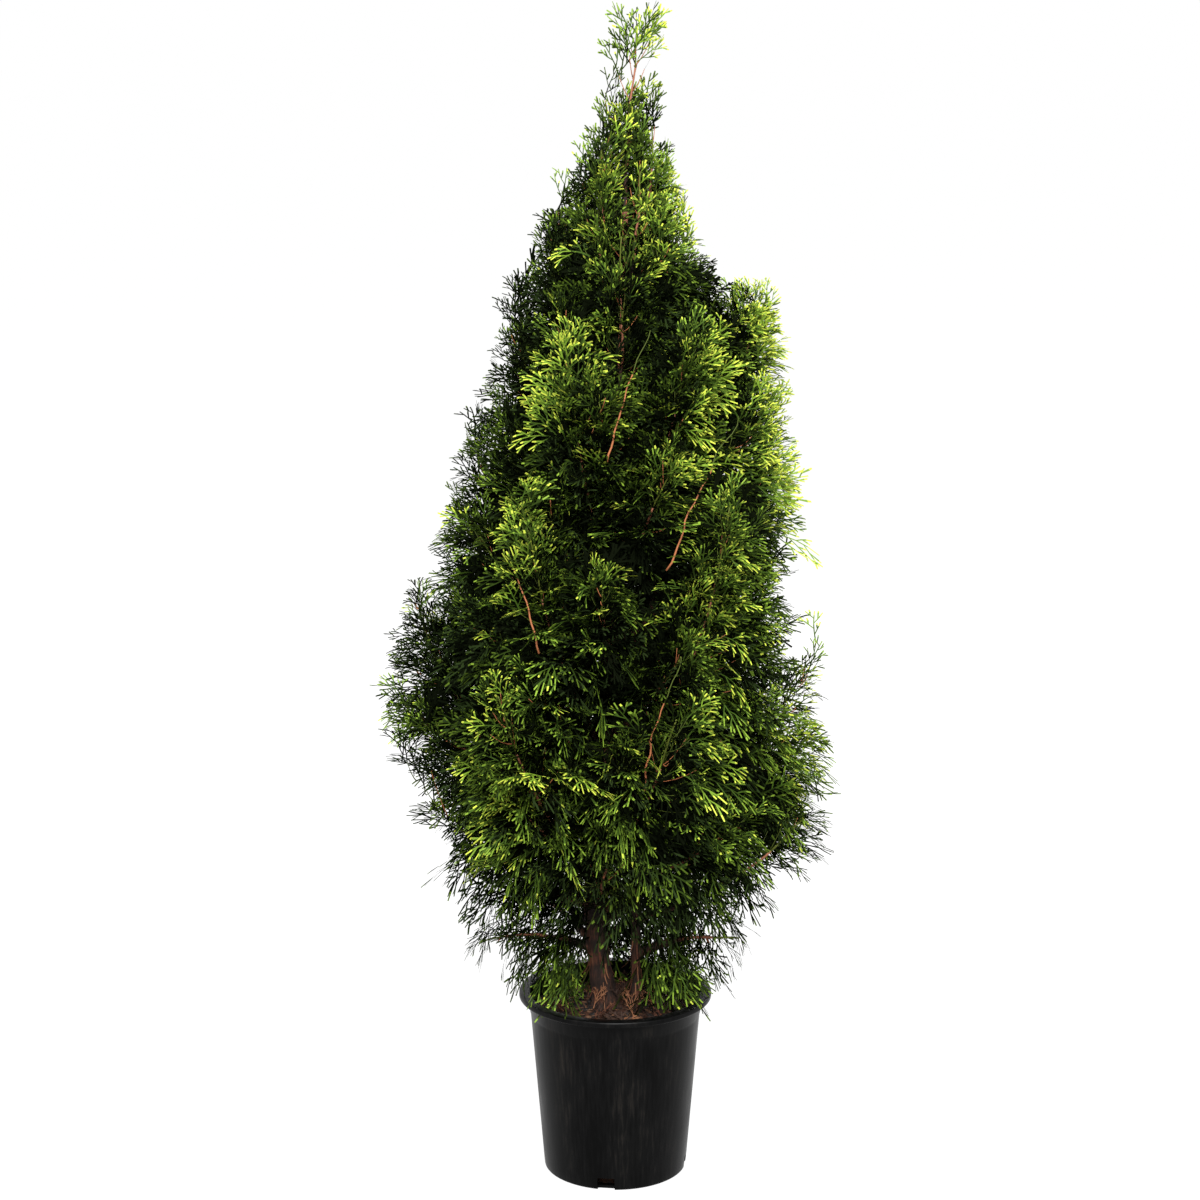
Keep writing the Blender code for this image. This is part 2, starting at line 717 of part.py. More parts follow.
def main():
    clear_scene()
    plastic = finish("black_moulded_plastic", "#17181a", 0.42)
    earth = finish("bark_compost", "#3a2418", 0.95)
    bark = finish("brown_fibrous_bark", "#5a3b28", 0.85)
    green = finish("thuja_leaf", "#2f5a1e", 0.6)

    make_pot(plastic)
    make_soil(earth)
    trunk_path = path_of(TRUNK)
    stem_path = path_of(SECOND_STEM)
    level = Vector((0, 0, 1))
    limb_faces, sleeves = [], []
    for name, path, sides in (
        ("trunk", trunk_path, TRUNK_SIDES),
        ("second_stem", stem_path, SECOND_STEM_SIDES),
    ):
        tube_object(name, path, sides, bark, level, level)
        limb_faces.append(sleeve_of(path, f"{name}_face", sides, TOUCH / math.cos(math.pi / sides)))
        sleeves.append(sleeve_of(path, f"{name}_sleeve", sides, LIMB_GAP))
    pot_line = [(Vector((0, 0, height)), POT_LIP_RADIUS) for height in (SOIL_LEVEL / 2, POT_HEIGHT)]
    sleeves.append(sleeve_of(pot_line, "pot_sleeve", POT_SIDES, LIMB_GAP))
    masses = all_masses()
    stem_sleeves = {}
    for mass in masses:
        sleeve_name = f"{mass.name}_stem_sleeve"
        stem_sleeves[mass.name] = sleeve_of(stem_path_of(mass), sleeve_name, BOUGH_SIDES, LIMB_GAP)
        if mass.bare > 0:
            path = make_bough(mass, limb_faces, bark)
            sleeves.append(sleeve_of(path, f"{mass.name}_sleeve", BOUGH_SIDES, LIMB_GAP))
    for mass in masses:
        others = [sleeve for name, sleeve in stem_sleeves.items() if name != mass.name]
        make_foliage(mass, masses, sleeves + others, limb_faces, green)
    for helper in [*sleeves, *stem_sleeves.values(), *limb_faces]:
        bpy.data.objects.remove(helper)


main()
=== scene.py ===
"""The looks of a young thuja in its nursery pot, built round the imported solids."""

import math
import random

import bpy
import numpy as np
from bpy.props import FloatProperty, FloatVectorProperty, IntProperty, PointerProperty
from mathutils import Matrix, Vector, noise


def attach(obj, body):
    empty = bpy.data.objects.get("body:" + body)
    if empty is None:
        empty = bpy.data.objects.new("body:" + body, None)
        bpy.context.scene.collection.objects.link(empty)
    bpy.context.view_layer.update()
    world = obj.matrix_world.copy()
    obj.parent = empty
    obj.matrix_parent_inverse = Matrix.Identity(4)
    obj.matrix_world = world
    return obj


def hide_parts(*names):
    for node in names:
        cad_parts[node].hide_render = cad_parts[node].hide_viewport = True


bl_info = {
    "name": "Potted thuja",
    "version": (1, 0, 0),
    "blender": (4, 5, 0),
    "location": "3D View > Sidebar > Thuja",
    "description": "Dresses the solids of a potted thuja: pot, compost, bark, twigs and sprays",
    "category": "Object",
}

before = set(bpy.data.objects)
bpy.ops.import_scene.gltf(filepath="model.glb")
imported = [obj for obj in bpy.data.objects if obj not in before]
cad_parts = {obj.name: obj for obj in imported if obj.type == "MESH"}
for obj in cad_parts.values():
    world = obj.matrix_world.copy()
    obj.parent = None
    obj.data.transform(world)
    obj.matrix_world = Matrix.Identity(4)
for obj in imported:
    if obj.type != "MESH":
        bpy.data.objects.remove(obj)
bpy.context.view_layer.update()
BODY = "root"
FOLIAGE_NODES = sorted(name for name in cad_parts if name.startswith("foliage_"))
BOUGH_NODES = sorted(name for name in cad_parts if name.startswith("bough_"))

# ---------------------------------------------------------------- the source's sizes, in metres
SOIL_LEVEL = 0.2280
TOUCH = 0.0003
TRUNK = (
    (SOIL_LEVEL + TOUCH, -0.010, -0.004, 0.0240),
    (0.245, -0.013, -0.004, 0.0182),
    (0.280, -0.020, -0.003, 0.0152),
    (0.360, -0.029, 0.000, 0.0140),
    (0.560, -0.016, 0.004, 0.0122),
    (0.800, -0.006, 0.002, 0.0100),
    (1.050, 0.002, 0.000, 0.0076),
    (1.220, 0.010, -0.002, 0.0060),
    (1.345, 0.013, 0.000, 0.0050),
)
SECOND_STEM = (
    (SOIL_LEVEL + TOUCH, 0.0290, -0.020, 0.0100),
    (0.250, 0.0285, -0.021, 0.0078),
    (0.340, 0.0290, -0.024, 0.0070),
    (0.560, 0.0300, -0.030, 0.0062),
    (0.760, 0.0420, -0.034, 0.0054),
    (0.920, 0.0740, -0.030, 0.0046),
    (1.040, 0.1180, -0.018, 0.0038),
)
# Foot height, tip height, tip radius, girth, bare share and directions of each tier's masses.
TIERS = {
    "shoulder": (1.070, 1.385, 0.094, 0.070, 0.00, (8, 95, 185, 275)),
    "upper": (0.850, 1.225, 0.162, 0.092, 0.15, (3, 82, 175, 245, 310)),
    "middle": (0.610, 1.020, 0.226, 0.110, 0.16, (22, 95, 167, 236, 312)),
    "broad": (0.430, 0.810, 0.284, 0.120, 0.17, (355, 52, 113, 178, 233, 292)),
    "low": (0.350, 0.585, 0.292, 0.116, 0.22, (340, 32, 90, 147, 200, 268)),
    "skirt": (0.318, 0.330, 0.236, 0.094, 0.26, (346, 60, 128, 196)),
}
OWN_SIZES = {
    ("shoulder", 8): (1.110, 1.368, 0.108, 0.064),
    ("shoulder", 185): (1.090, 1.390, 0.090, 0.068),
    ("shoulder", 275): (1.050, 1.350, 0.084, 0.066),
    ("upper", 3): (1.020, 1.262, 0.212, 0.064),
    ("upper", 175): (0.870, 1.268, 0.150, 0.088),
    ("middle", 22): (0.630, 1.095, 0.250, 0.106),
    ("middle", 167): (0.615, 1.095, 0.208, 0.104),
    ("broad", 355): (0.440, 0.820, 0.298, 0.118),
    ("broad", 178): (0.440, 0.870, 0.292, 0.118),
    ("low", 340): (0.370, 0.600, 0.316, 0.114),
    ("low", 200): (0.380, 0.676, 0.338, 0.116),
    ("low", 268): (0.380, 0.560, 0.240, 0.108),
}
SPIRE = ("upper", 3)
FROM_SECOND_STEM = (("middle", 312), ("broad", 355), ("low", 340), ("skirt", 346))
DROOPING = ("skirt",)
LOW_TIERS = ("low", "skirt")
CROWN_TOP = 1.613
CROWN_TOP_PLACE = (0.034, 0.000)
CROWN_TIP_GIRTH = 0.074
SEED = 41

# The crown's left and right edges at a height.
OUTLINE = (
    (0.200, -0.150, 0.165),
    (0.290, -0.175, 0.185),
    (0.330, -0.225, 0.202),
    (0.380, -0.250, 0.235),
    (0.430, -0.260, 0.290),
    (0.520, -0.265, 0.315),
    (0.570, -0.290, 0.325),
    (0.630, -0.320, 0.305),
    (0.670, -0.345, 0.285),
    (0.740, -0.320, 0.295),
    (0.850, -0.290, 0.270),
    (0.920, -0.260, 0.298),
    (1.050, -0.212, 0.262),
    (1.190, -0.160, 0.236),
    (1.250, -0.150, 0.215),
    (1.290, -0.120, 0.115),
    (1.350, -0.098, 0.100),
    (1.400, -0.062, 0.084),
    (1.450, -0.036, 0.066),
    (1.515, -0.024, 0.052),
    (1.580, -0.028, 0.076),
    (1.630, -0.010, 0.066),
)
# How deep the crown is to the front and to the back, as a share of its half width.
FRONT_SHARE = 0.88
BACK_SHARE = 1.0

# How much painted light each mass gets, from 0 for the ones in painted shade to 1 for the sunny ones.
MASS_LIGHTS = {
    "crown_tip": 0.95, "shoulder_right": 0.80, "shoulder_back": 0.60, "shoulder_left": 0.22,
    "shoulder_front": 0.85, "upper_right": 0.95, "upper_back": 0.60, "upper_left": 0.20,
    "upper_front_left": 0.84, "upper_front_right": 0.74, "middle_right": 0.48, "middle_back": 0.60,
    "middle_left": 0.20, "middle_front_left": 0.62, "middle_front_right": 0.56, "broad_right": 0.50,
    "broad_back_right": 0.58, "broad_back_left": 0.55, "broad_left": 0.16, "broad_front_left": 0.54,
    "broad_front": 0.58, "low_right": 0.42, "low_back_right": 0.50, "low_back": 0.50,
    "low_back_left": 0.45, "low_left": 0.26, "low_front": 0.58, "skirt_right": 0.24,
    "skirt_back_right": 0.36, "skirt_back_left": 0.34, "skirt_left": 0.16,
}
# The boughs between the masses: heights of the lowest and the highest, girth and bare share.
BETWEEN_HEIGHTS = (0.36, 1.27)
BETWEEN_GIRTH = 0.078
BETWEEN_BARE = 0.30
# A stem ends here along its curve, and the last sprays reach on to the curve's end.
STEM_END = 0.91
# A limb's mesh ends at this share of the way out to the crown's edge.
LIMB_EDGE = 0.86
GOLDEN = math.radians(137.5)
DIRECTIONS = ("right", "back_right", "back", "back_left", "left", "front_left", "front", "front_right")


# ---------------------------------------------------------------- the source's rule of growth
def polar(radius, azimuth, height):
    """A point at a distance, a direction and a height."""
    return Vector((radius * math.cos(azimuth), radius * math.sin(azimuth), height))


def bezier(start, middle, end, t):
    """A point of a curve that bends once."""
    return start * (1 - t) ** 2 + middle * (2 * t * (1 - t)) + end * t**2


def place_on(stations, height):
    """Centre and radius of a limb at a height."""
    for low, high in zip(stations, stations[1:]):
        if low[0] <= height <= high[0]:
            t = (height - low[0]) / (high[0] - low[0])
            _, x, y, radius = (a + (b - a) * t for a, b in zip(low, high))
            return Vector((x, y, height)), radius
    end = stations[-1]
    return Vector((end[1], end[2], end[0])), end[3]


class Mass:
    """One mass of foliage: the curve of its limb, its girth, its tone and its place in the crown."""

    edge = 0.95

    def __init__(self, tier, azimuth, sizes, bare):
        foot, tip_height, tip_radius, girth = sizes
        self.tier = tier
        self.azimuth = math.radians(azimuth)
        self.girth = girth
        self.bare = bare
        self.random = random.Random(f"{SEED} {tier} {azimuth}")
        self.name = f"{tier}_{DIRECTIONS[round(azimuth / 45) % 8]}"
        self.tip = polar(tip_radius, self.azimuth, tip_height)
        outward = polar(1.0, self.azimuth, 0.0)
        if (tier, azimuth) == SPIRE:
            self.start = place_on(SECOND_STEM, SECOND_STEM[-1][0])[0]
            self.bend = self.start.lerp(self.tip, 0.5) + outward * 0.018
            self.bare = 0.0
            return
        host = SECOND_STEM if (tier, azimuth) in FROM_SECOND_STEM else TRUNK
        centre, radius = place_on(host, foot)
        heading = ((self.tip - centre) * Vector((1, 1, 0))).normalized()
        self.start = centre + heading * (radius * 0.4)
        if tier in DROOPING:
            self.bend = self.start.lerp(self.tip, 0.5) + Vector((0, 0, 0.050))
        else:
            self.bend = self.start + heading * (tip_radius * 0.62)
            self.bend.z = foot + (tip_height - foot) * 0.34

    def along(self, t):
        """A point of the limb: 0 at its foot, 1 at the furthest leaf."""
        return bezier(self.start, self.bend, self.tip, t)

    def heading(self, t):
        """The limb's direction at a point."""
        return (self.along(min(t + 0.02, 1.0)) - self.along(max(t - 0.02, 0.0))).normalized()

    def stem_at(self, s):
        """Share of the whole limb at share s of its leafy part."""
        return self.bare + (STEM_END - self.bare) * s

    def reach(self, s):
        """How far leaves stand from the stem: a flame shape, full below and pointed above."""
        return self.girth * (0.34 + 0.66 * math.sin(math.pi * min(s + 0.18, 1.0) ** 0.95))


class CrownTip(Mass):
    """The open tuft at the top, on the end of the trunk."""

    def __init__(self):
        top = TRUNK[-1]
        self.tier = "crown"
        self.name = "crown_tip"
        self.azimuth = math.radians(270)
        self.girth = CROWN_TIP_GIRTH
        self.bare = 0.0
        self.random = random.Random(f"{SEED} crown tip")
        self.start = Vector((top[1], top[2], top[0]))
        self.tip = Vector((*CROWN_TOP_PLACE, CROWN_TOP))
        self.bend = self.start.lerp(self.tip, 0.5) + Vector((-0.008, 0.0, 0.0))


class Between(Mass):
    """A thinner bough that fills the room between the masses, from the trunk to inside the outline."""

    edge = 0.84

    def __init__(self, k, count):
        self.random = random.Random(f"{SEED} between {k}")
        foot = BETWEEN_HEIGHTS[0] + (BETWEEN_HEIGHTS[1] - BETWEEN_HEIGHTS[0]) * (k + 0.5) / count
        self.tier = "broad" if foot < 0.55 else "middle" if foot < 0.8 else "upper"
        self.name = "between"
        self.azimuth = k * GOLDEN + 0.6
        self.girth = BETWEEN_GIRTH
        self.bare = BETWEEN_BARE
        centre, radius = place_on(TRUNK, foot)
        rise = 0.15 + 0.10 * (foot - 0.4)
        out = self.random.uniform(0.62, 0.80) + 0.08 * abs(math.cos(self.azimuth))
        self.tip = crown_point(self.azimuth, foot + rise, out)
        self.start = centre + polar(radius * 0.4, self.azimuth, 0.0)
        self.bend = self.start.lerp(self.tip, 0.5) + polar(0.025, self.azimuth, -0.02)


def all_masses():
    """The source's masses, each grown from its own seed."""
    found = [CrownTip()]
    for tier, (foot, height, radius, girth, bare, azimuths) in TIERS.items():
        for azimuth in azimuths:
            sizes = OWN_SIZES.get((tier, azimuth), (foot, height, radius, girth))
            found.append(Mass(tier, azimuth, sizes, bare))
    return found


def all_boughs(foliage):
    """The masses and what grows between them."""
    return all_masses() + [Between(k, foliage.between_count) for k in range(foliage.between_count)]


def crown_size(height):
    """Middle and half width of the crown at a height."""
    heights = [row[0] for row in OUTLINE]
    left = float(np.interp(height, heights, [row[1] for row in OUTLINE]))
    right = float(np.interp(height, heights, [row[2] for row in OUTLINE]))
    return (left + right) / 2, (right - left) / 2


def crown_share(point):
    """How far out a point is: 0 on the crown's middle line, 1 at its edge."""
    middle, half = crown_size(point.z)
    depth = BACK_SHARE if point.y > 0 else FRONT_SHARE
    return math.hypot((point.x - middle) / half, point.y / (half * depth))


def crown_point(azimuth, height, share):
    """The point at a share of the way out to the crown's edge."""
    middle, half = crown_size(height)
    place = polar(half * share, azimuth, height)
    place.y *= BACK_SHARE if place.y > 0 else FRONT_SHARE
    place.x += middle
    return place


# ---------------------------------------------------------------- colours and nodes
def linear(hex_colour):
    """An sRGB hex colour as linear red, green, blue and alpha."""
    channels = [int(hex_colour[i : i + 2], 16) / 255 for i in (1, 3, 5)]
    return (*(c / 12.92 if c <= 0.04045 else ((c + 0.055) / 1.055) ** 2.4 for c in channels), 1.0)


def add_node(tree, kind, values=None, links=None, **settings):
    """Adds a shader node, sets it up and links sockets into it."""
    made = tree.nodes.new(kind)
    for name, value in settings.items():
        setattr(made, name, value)
    for name, value in (values or {}).items():
        made.inputs[name].default_value = value
    for name, socket in (links or {}).items():
        tree.links.new(socket, made.inputs[name])
    return made


def add_ramp(tree, factor, stops):
    """A colour ramp with (place, hex colour) stops on a factor."""
    ramp = add_node(tree, "ShaderNodeValToRGB", links={"Fac": factor})
    elements = ramp.color_ramp.elements
    while len(elements) < len(stops):
        elements.new(0.5)
    for element, (place, colour) in zip(elements, stops):
        element.position = place
        element.color = linear(colour)
    return ramp.outputs["Color"]


def plain_finish(name, colour, roughness, specular):
    """A material of one even, linear colour, for leaves and twigs and as the ground of the others."""
    made = bpy.data.materials.new(name)
    made.use_nodes = True
    shader = made.node_tree.nodes["Principled BSDF"]
    shader.inputs["Base Color"].default_value = colour
    shader.inputs["Roughness"].default_value = roughness
    shader.inputs["Specular IOR Level"].default_value = specular
    return made


def per_metre(size):
    """How often a pattern of a size in millimetres repeats in a metre."""
    return 1000 / size


def black_polypropylene(colour):
    """Blown black pot plastic: fine upright draw lines, rubbed patches and a soft gloss."""
    made = plain_finish("black_polypropylene", colour, 0.42, 0.055)
    tree = made.node_tree
    shader = tree.nodes["Principled BSDF"]
    place = add_node(tree, "ShaderNodeTexCoord").outputs["Object"]
    # Draw lines are 4 mm apart and 11 cm long, and rubbed patches are 4.5 by 14 cm.
    fine = {"Scale": (per_metre(3.85), per_metre(3.85), per_metre(111))}
    lines = add_node(tree, "ShaderNodeMapping", fine, {"Vector": place}).outputs[0]
    grain = {"Scale": 1.0, "Detail": 5.0, "Roughness": 0.65}
    streaks = add_node(tree, "ShaderNodeTexNoise", grain, {"Vector": lines}).outputs["Fac"]
    wide = {"Scale": (per_metre(45.5), per_metre(45.5), per_metre(143))}
    broad = add_node(tree, "ShaderNodeMapping", wide, {"Vector": place}).outputs[0]
    grain = {"Scale": 1.0, "Detail": 4.0, "Roughness": 0.6}
    patches = add_node(tree, "ShaderNodeTexNoise", grain, {"Vector": broad}).outputs["Fac"]
    both = {0: streaks, 1: patches}
    rubbed = add_node(tree, "ShaderNodeMath", links=both, operation="MULTIPLY").outputs[0]
    mottled = add_ramp(tree, rubbed, ((0.18, "#010101"), (0.30, "#040404"), (0.46, "#12100e")))
    tree.links.new(mottled, shader.inputs["Base Color"])
    levels = {"From Min": 0.3, "From Max": 0.7, "To Min": 0.24, "To Max": 0.44}
    gloss = add_node(tree, "ShaderNodeMapRange", levels, {"Value": patches}).outputs[0]
    tree.links.new(gloss, shader.inputs["Roughness"])
    bump = add_node(tree, "ShaderNodeBump", {"Strength": 0.25, "Distance": 0.0004}, {"Height": streaks})
    tree.links.new(bump.outputs[0], shader.inputs["Normal"])
    return made


def damp_compost(name):
    """Damp bark compost: dark crumbs with red-brown fibres among them."""
    made = plain_finish(name, linear("#2a1a12"), 0.95, 0.15)
    tree = made.node_tree
    shader = tree.nodes["Principled BSDF"]
    place = {"Vector": add_node(tree, "ShaderNodeTexCoord").outputs["Object"]}
    # Crumbs are 4 mm wide, and their colour changes every 14 mm.
    crumbs = add_node(tree, "ShaderNodeTexVoronoi", {"Scale": per_metre(4.35)}, place)
    mottle = add_node(tree, "ShaderNodeTexNoise", {"Scale": per_metre(14.3), "Detail": 6.0}, place)
    both = {0: crumbs.outputs["Distance"], 1: mottle.outputs["Fac"]}
    mixed = add_node(tree, "ShaderNodeMath", links=both, operation="ADD").outputs[0]
    colour = add_ramp(tree, mixed, ((0.45, "#040302"), (0.72, "#100906"), (1.0, "#26140b")))
    tree.links.new(colour, shader.inputs["Base Color"])
    bump = add_node(tree, "ShaderNodeBump", {"Strength": 0.8, "Distance": 0.002}, {"Height": mixed})
    tree.links.new(bump.outputs[0], shader.inputs["Normal"])
    return made


def fibrous_bark():
    """Thuja bark: red-brown fibres that run up the limb, grey where they have weathered."""
    made = plain_finish("fibrous_bark", linear("#4a2c1c"), 0.85, 0.2)
    tree = made.node_tree
    shader = tree.nodes["Principled BSDF"]
    place = {"Vector": add_node(tree, "ShaderNodeTexCoord").outputs["Object"]}
    # Fibres are 2.4 mm wide and 3 cm long, and weathered spots are 26 mm wide.
    thread = {"Scale": (per_metre(2.38), per_metre(2.38), per_metre(29.4))}
    upright = add_node(tree, "ShaderNodeMapping", thread, place).outputs[0]
    grain = {"Scale": 1.0, "Detail": 6.0, "Roughness": 0.6}
    fibres = add_node(tree, "ShaderNodeTexNoise", grain, {"Vector": upright}).outputs["Fac"]
    broad = add_node(tree, "ShaderNodeTexNoise", {"Scale": per_metre(26.3), "Detail": 3.0}, place)
    both = {0: fibres, 1: broad.outputs["Fac"]}
    mixed = add_node(tree, "ShaderNodeMath", {2: 0.25}, both, operation="MULTIPLY_ADD").outputs[0]
    stops = ((0.36, "#060403"), (0.48, "#1a0e08"), (0.58, "#371d11"), (0.72, "#503524"))
    tree.links.new(add_ramp(tree, mixed, stops), shader.inputs["Base Color"])
    bump = add_node(tree, "ShaderNodeBump", {"Strength": 0.7, "Distance": 0.0012}, {"Height": fibres})
    tree.links.new(bump.outputs[0], shader.inputs["Normal"])
    return made


# ---------------------------------------------------------------- meshes
PIECE_LIMIT = 190000
# Bark relief: how often its ridges and its fine fibres repeat round a limb and along a metre of it.
RIDGES = (3.2, 16.0)
FIBRES = (9.0, 42.0)


def deselect():
    """Leaves edit mode and clears the selection."""
    if bpy.context.object and bpy.context.object.mode != "OBJECT":
        bpy.ops.object.mode_set(mode="OBJECT")
    bpy.ops.object.select_all(action="DESELECT")


def mesh_piece(name, points, faces, material, smooth=False):
    """A piece from arrays of points and triangles, riding on the plant."""
    mesh = bpy.data.meshes.new(name)
    mesh.vertices.add(len(points))
    mesh.vertices.foreach_set("co", np.asarray(points, dtype=np.float32).ravel())
    mesh.loops.add(len(faces) * 3)
    mesh.loops.foreach_set("vertex_index", np.asarray(faces, dtype=np.int32).ravel())
    mesh.polygons.add(len(faces))
    mesh.polygons.foreach_set("loop_start", np.arange(0, len(faces) * 3, 3, dtype=np.int32))
    mesh.update(calc_edges=True)
    mesh.validate()
    mesh.materials.append(material)
    if smooth:
        mesh.shade_smooth()
    piece = bpy.data.objects.new(name, mesh)
    bpy.context.scene.collection.objects.link(piece)
    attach(piece, BODY)
    return piece


class Heap:
    """Gathers triangles by kind until they become pieces."""

    def __init__(self):
        self.points, self.faces, self.count = {}, {}, {}

    def add(self, kind, points, faces):
        base = self.count.get(kind, 0)
        self.points.setdefault(kind, []).append(np.asarray(points))
        self.faces.setdefault(kind, []).append(np.asarray(faces) + base)
        self.count[kind] = base + len(points)

    def pieces(self, kind, material, smooth=False):
        """Makes the pieces of one kind, each of under PIECE_LIMIT triangles."""
        faces = np.concatenate(self.faces[kind])
        points = np.concatenate(self.points[kind])
        parts = math.ceil(len(faces) / PIECE_LIMIT)
        made = []
        for part, chunk in enumerate(np.array_split(faces, parts)):
            used, places = np.unique(chunk, return_inverse=True)
            name = f"{kind}_{part + 1}" if parts > 1 else kind
            made.append(mesh_piece(name, points[used], places.reshape(-1, 3), material, smooth))
        return made


def turned(name, stations, sides):
    """A closed round shell: a disc extruded and resized from station to station."""
    deselect()
    radius, height = stations[0]
    bpy.ops.mesh.primitive_circle_add(vertices=sides, radius=radius, fill_type="NGON", location=(0, 0, 0))
    piece = bpy.context.object
    piece.name = name
    bpy.ops.object.mode_set(mode="EDIT")
    bpy.ops.mesh.select_all(action="SELECT")
    bpy.ops.transform.translate(value=(0, 0, height))
    for next_radius, next_height in stations[1:]:
        bpy.ops.mesh.extrude_region_move(TRANSFORM_OT_translate={"value": (0, 0, next_height - height)})
        share = next_radius / radius
        bpy.ops.transform.resize(value=(share, share, 1), center_override=(0, 0, next_height))
        radius, height = next_radius, next_height
    bpy.ops.mesh.select_all(action="SELECT")
    bpy.ops.mesh.normals_make_consistent(inside=False)
    bpy.ops.object.mode_set(mode="OBJECT")
    return piece


def smooth_path(stations, count):
    """Points and radii along a limb, rounded where the source's polyline turns."""
    knots = np.array([(x, y, z, radius) for z, x, y, radius in stations])
    gaps = np.linalg.norm(np.diff(knots[:, :3], axis=0), axis=1)
    along = np.concatenate(([0.0], np.cumsum(gaps)))
    slopes = np.gradient(knots, along, axis=0)
    path = []
    for place in np.linspace(0, along[-1], count):
        i = min(int(np.searchsorted(along, place, side="right")) - 1, len(gaps) - 1)
        t = (place - along[i]) / gaps[i]
        a, b = knots[i], knots[i + 1]
        va, vb = slopes[i] * gaps[i], slopes[i + 1] * gaps[i]
        here = a * (2 * t**3 - 3 * t**2 + 1) + va * (t**3 - 2 * t**2 + t)
        here = here + b * (3 * t**2 - 2 * t**3) + vb * (t**3 - t**2)
        path.append((Vector(here[:3]), float(here[3])))
    return path


def add_tube(heap, kind, path, sides, relief=0.0, lobes=0.0):
    """A closed tube along (point, radius) pairs. Relief raises fibres on it, lobes widen its foot."""
    points, faces = [], []
    side = None
    last = len(path) - 1
    for i, (place, radius) in enumerate(path):
        ahead = (path[min(i + 1, last)][0] - path[max(i - 1, 0)][0]).normalized()
        side = ahead.orthogonal() if side is None else side
        side = (side - ahead * side.dot(ahead)).normalized()
        other = ahead.cross(side)
        for k in range(sides):
            turn = 2 * math.pi * k / sides
            out = side * math.cos(turn) + other * math.sin(turn)
            size = radius
            if relief:
                spot = Vector((out.x * RIDGES[0], out.y * RIDGES[0], place.z * RIDGES[1]))
                spot += Vector((place.x, place.y, 0)) * 30
                fine = Vector((out.x * FIBRES[0], out.y * FIBRES[0], place.z * FIBRES[1]))
                ridges = 1 - abs(noise.noise(spot)) * 2.2
                size += relief * radius * (0.7 * (ridges - 0.6) + 0.5 * noise.noise(fine))
            if lobes:
                size *= 1 + lobes * max(0.0, 1 - i / (last * 0.12)) * (0.5 + 0.5 * math.cos(turn * 4 + 0.7))
            points.append(tuple(place + out * size))
    for i in range(last):
        for k in range(sides):
            a, b = i * sides + k, i * sides + (k + 1) % sides
            faces += [(a, b, b + sides), (a, b + sides, a + sides)]
    foot, top = len(points), len(points) + 1
    points += [tuple(path[0][0]), tuple(path[-1][0])]
    for k in range(sides):
        j = (k + 1) % sides
        faces += [(j, k, foot), (last * sides + k, last * sides + j, top)]
    heap.add(kind, points, faces)


# ---------------------------------------------------------------- pot and compost
LIP_ROLL = 0.0022
# Heights of the rings of points on the wall, outside from the foot up and inside from the top down.
WALL_RINGS = (0.012, 0.050, 0.100, 0.150, 0.200)
INSIDE_RINGS = (0.246, 0.225, 0.150, 0.080)
# How far from the pot's middle chips, fallen sprays and their tips lie at most.
CHIP_REACH = 0.104
FALLEN_REACH = 0.102
FALLEN_TIP_REACH = 0.106


def wall_radius(pot, height):
    """The pot's outer radius on its plain tapering wall."""
    return pot.base_radius + (pot.top_radius - pot.base_radius) * height / pot.height


def rounded(centre, size, first, last, steps):
    """Stations round a rolled edge, from one angle to another, in degrees from level outwards."""
    angles = [math.radians(first + (last - first) * k / steps) for k in range(steps + 1)]
    return [(centre[0] + size * math.cos(a), centre[1] + size * math.sin(a)) for a in angles]


def cut_slot(pot, shell, turn):
    """Cuts one drain slot through the foot of the wall."""
    deselect()
    place = polar(pot.base_radius, turn, pot.slot_height / 2 - 0.002)
    bpy.ops.mesh.primitive_cube_add(size=1.0, location=place, rotation=(0, 0, turn))
    cutter = bpy.context.object
    cutter.scale = (pot.slot_depth, pot.slot_width, pot.slot_height + 0.004)
    bpy.ops.object.transform_apply(location=True, rotation=True, scale=True)
    bpy.ops.object.mode_set(mode="EDIT")
    bpy.ops.mesh.select_all(action="SELECT")
    bpy.ops.mesh.bevel(offset=0.0016, segments=2)
    bpy.ops.object.mode_set(mode="OBJECT")
    deselect()
    bpy.context.view_layer.objects.active = shell
    cut = shell.modifiers.new("slot", "BOOLEAN")
    cut.operation = "DIFFERENCE"
    cut.solver = "EXACT"
    cut.object = cutter
    before = len(shell.data.vertices)
    bpy.ops.object.modifier_apply(modifier=cut.name)
    bpy.data.objects.remove(cutter)
    if len(shell.data.vertices) == before:
        raise RuntimeError("The drain slot was not cut")


def add_to_plant(piece, node, material):
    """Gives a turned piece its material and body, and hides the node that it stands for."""
    piece.data.materials.clear()
    piece.data.materials.append(material)
    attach(piece, BODY)
    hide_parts(node)


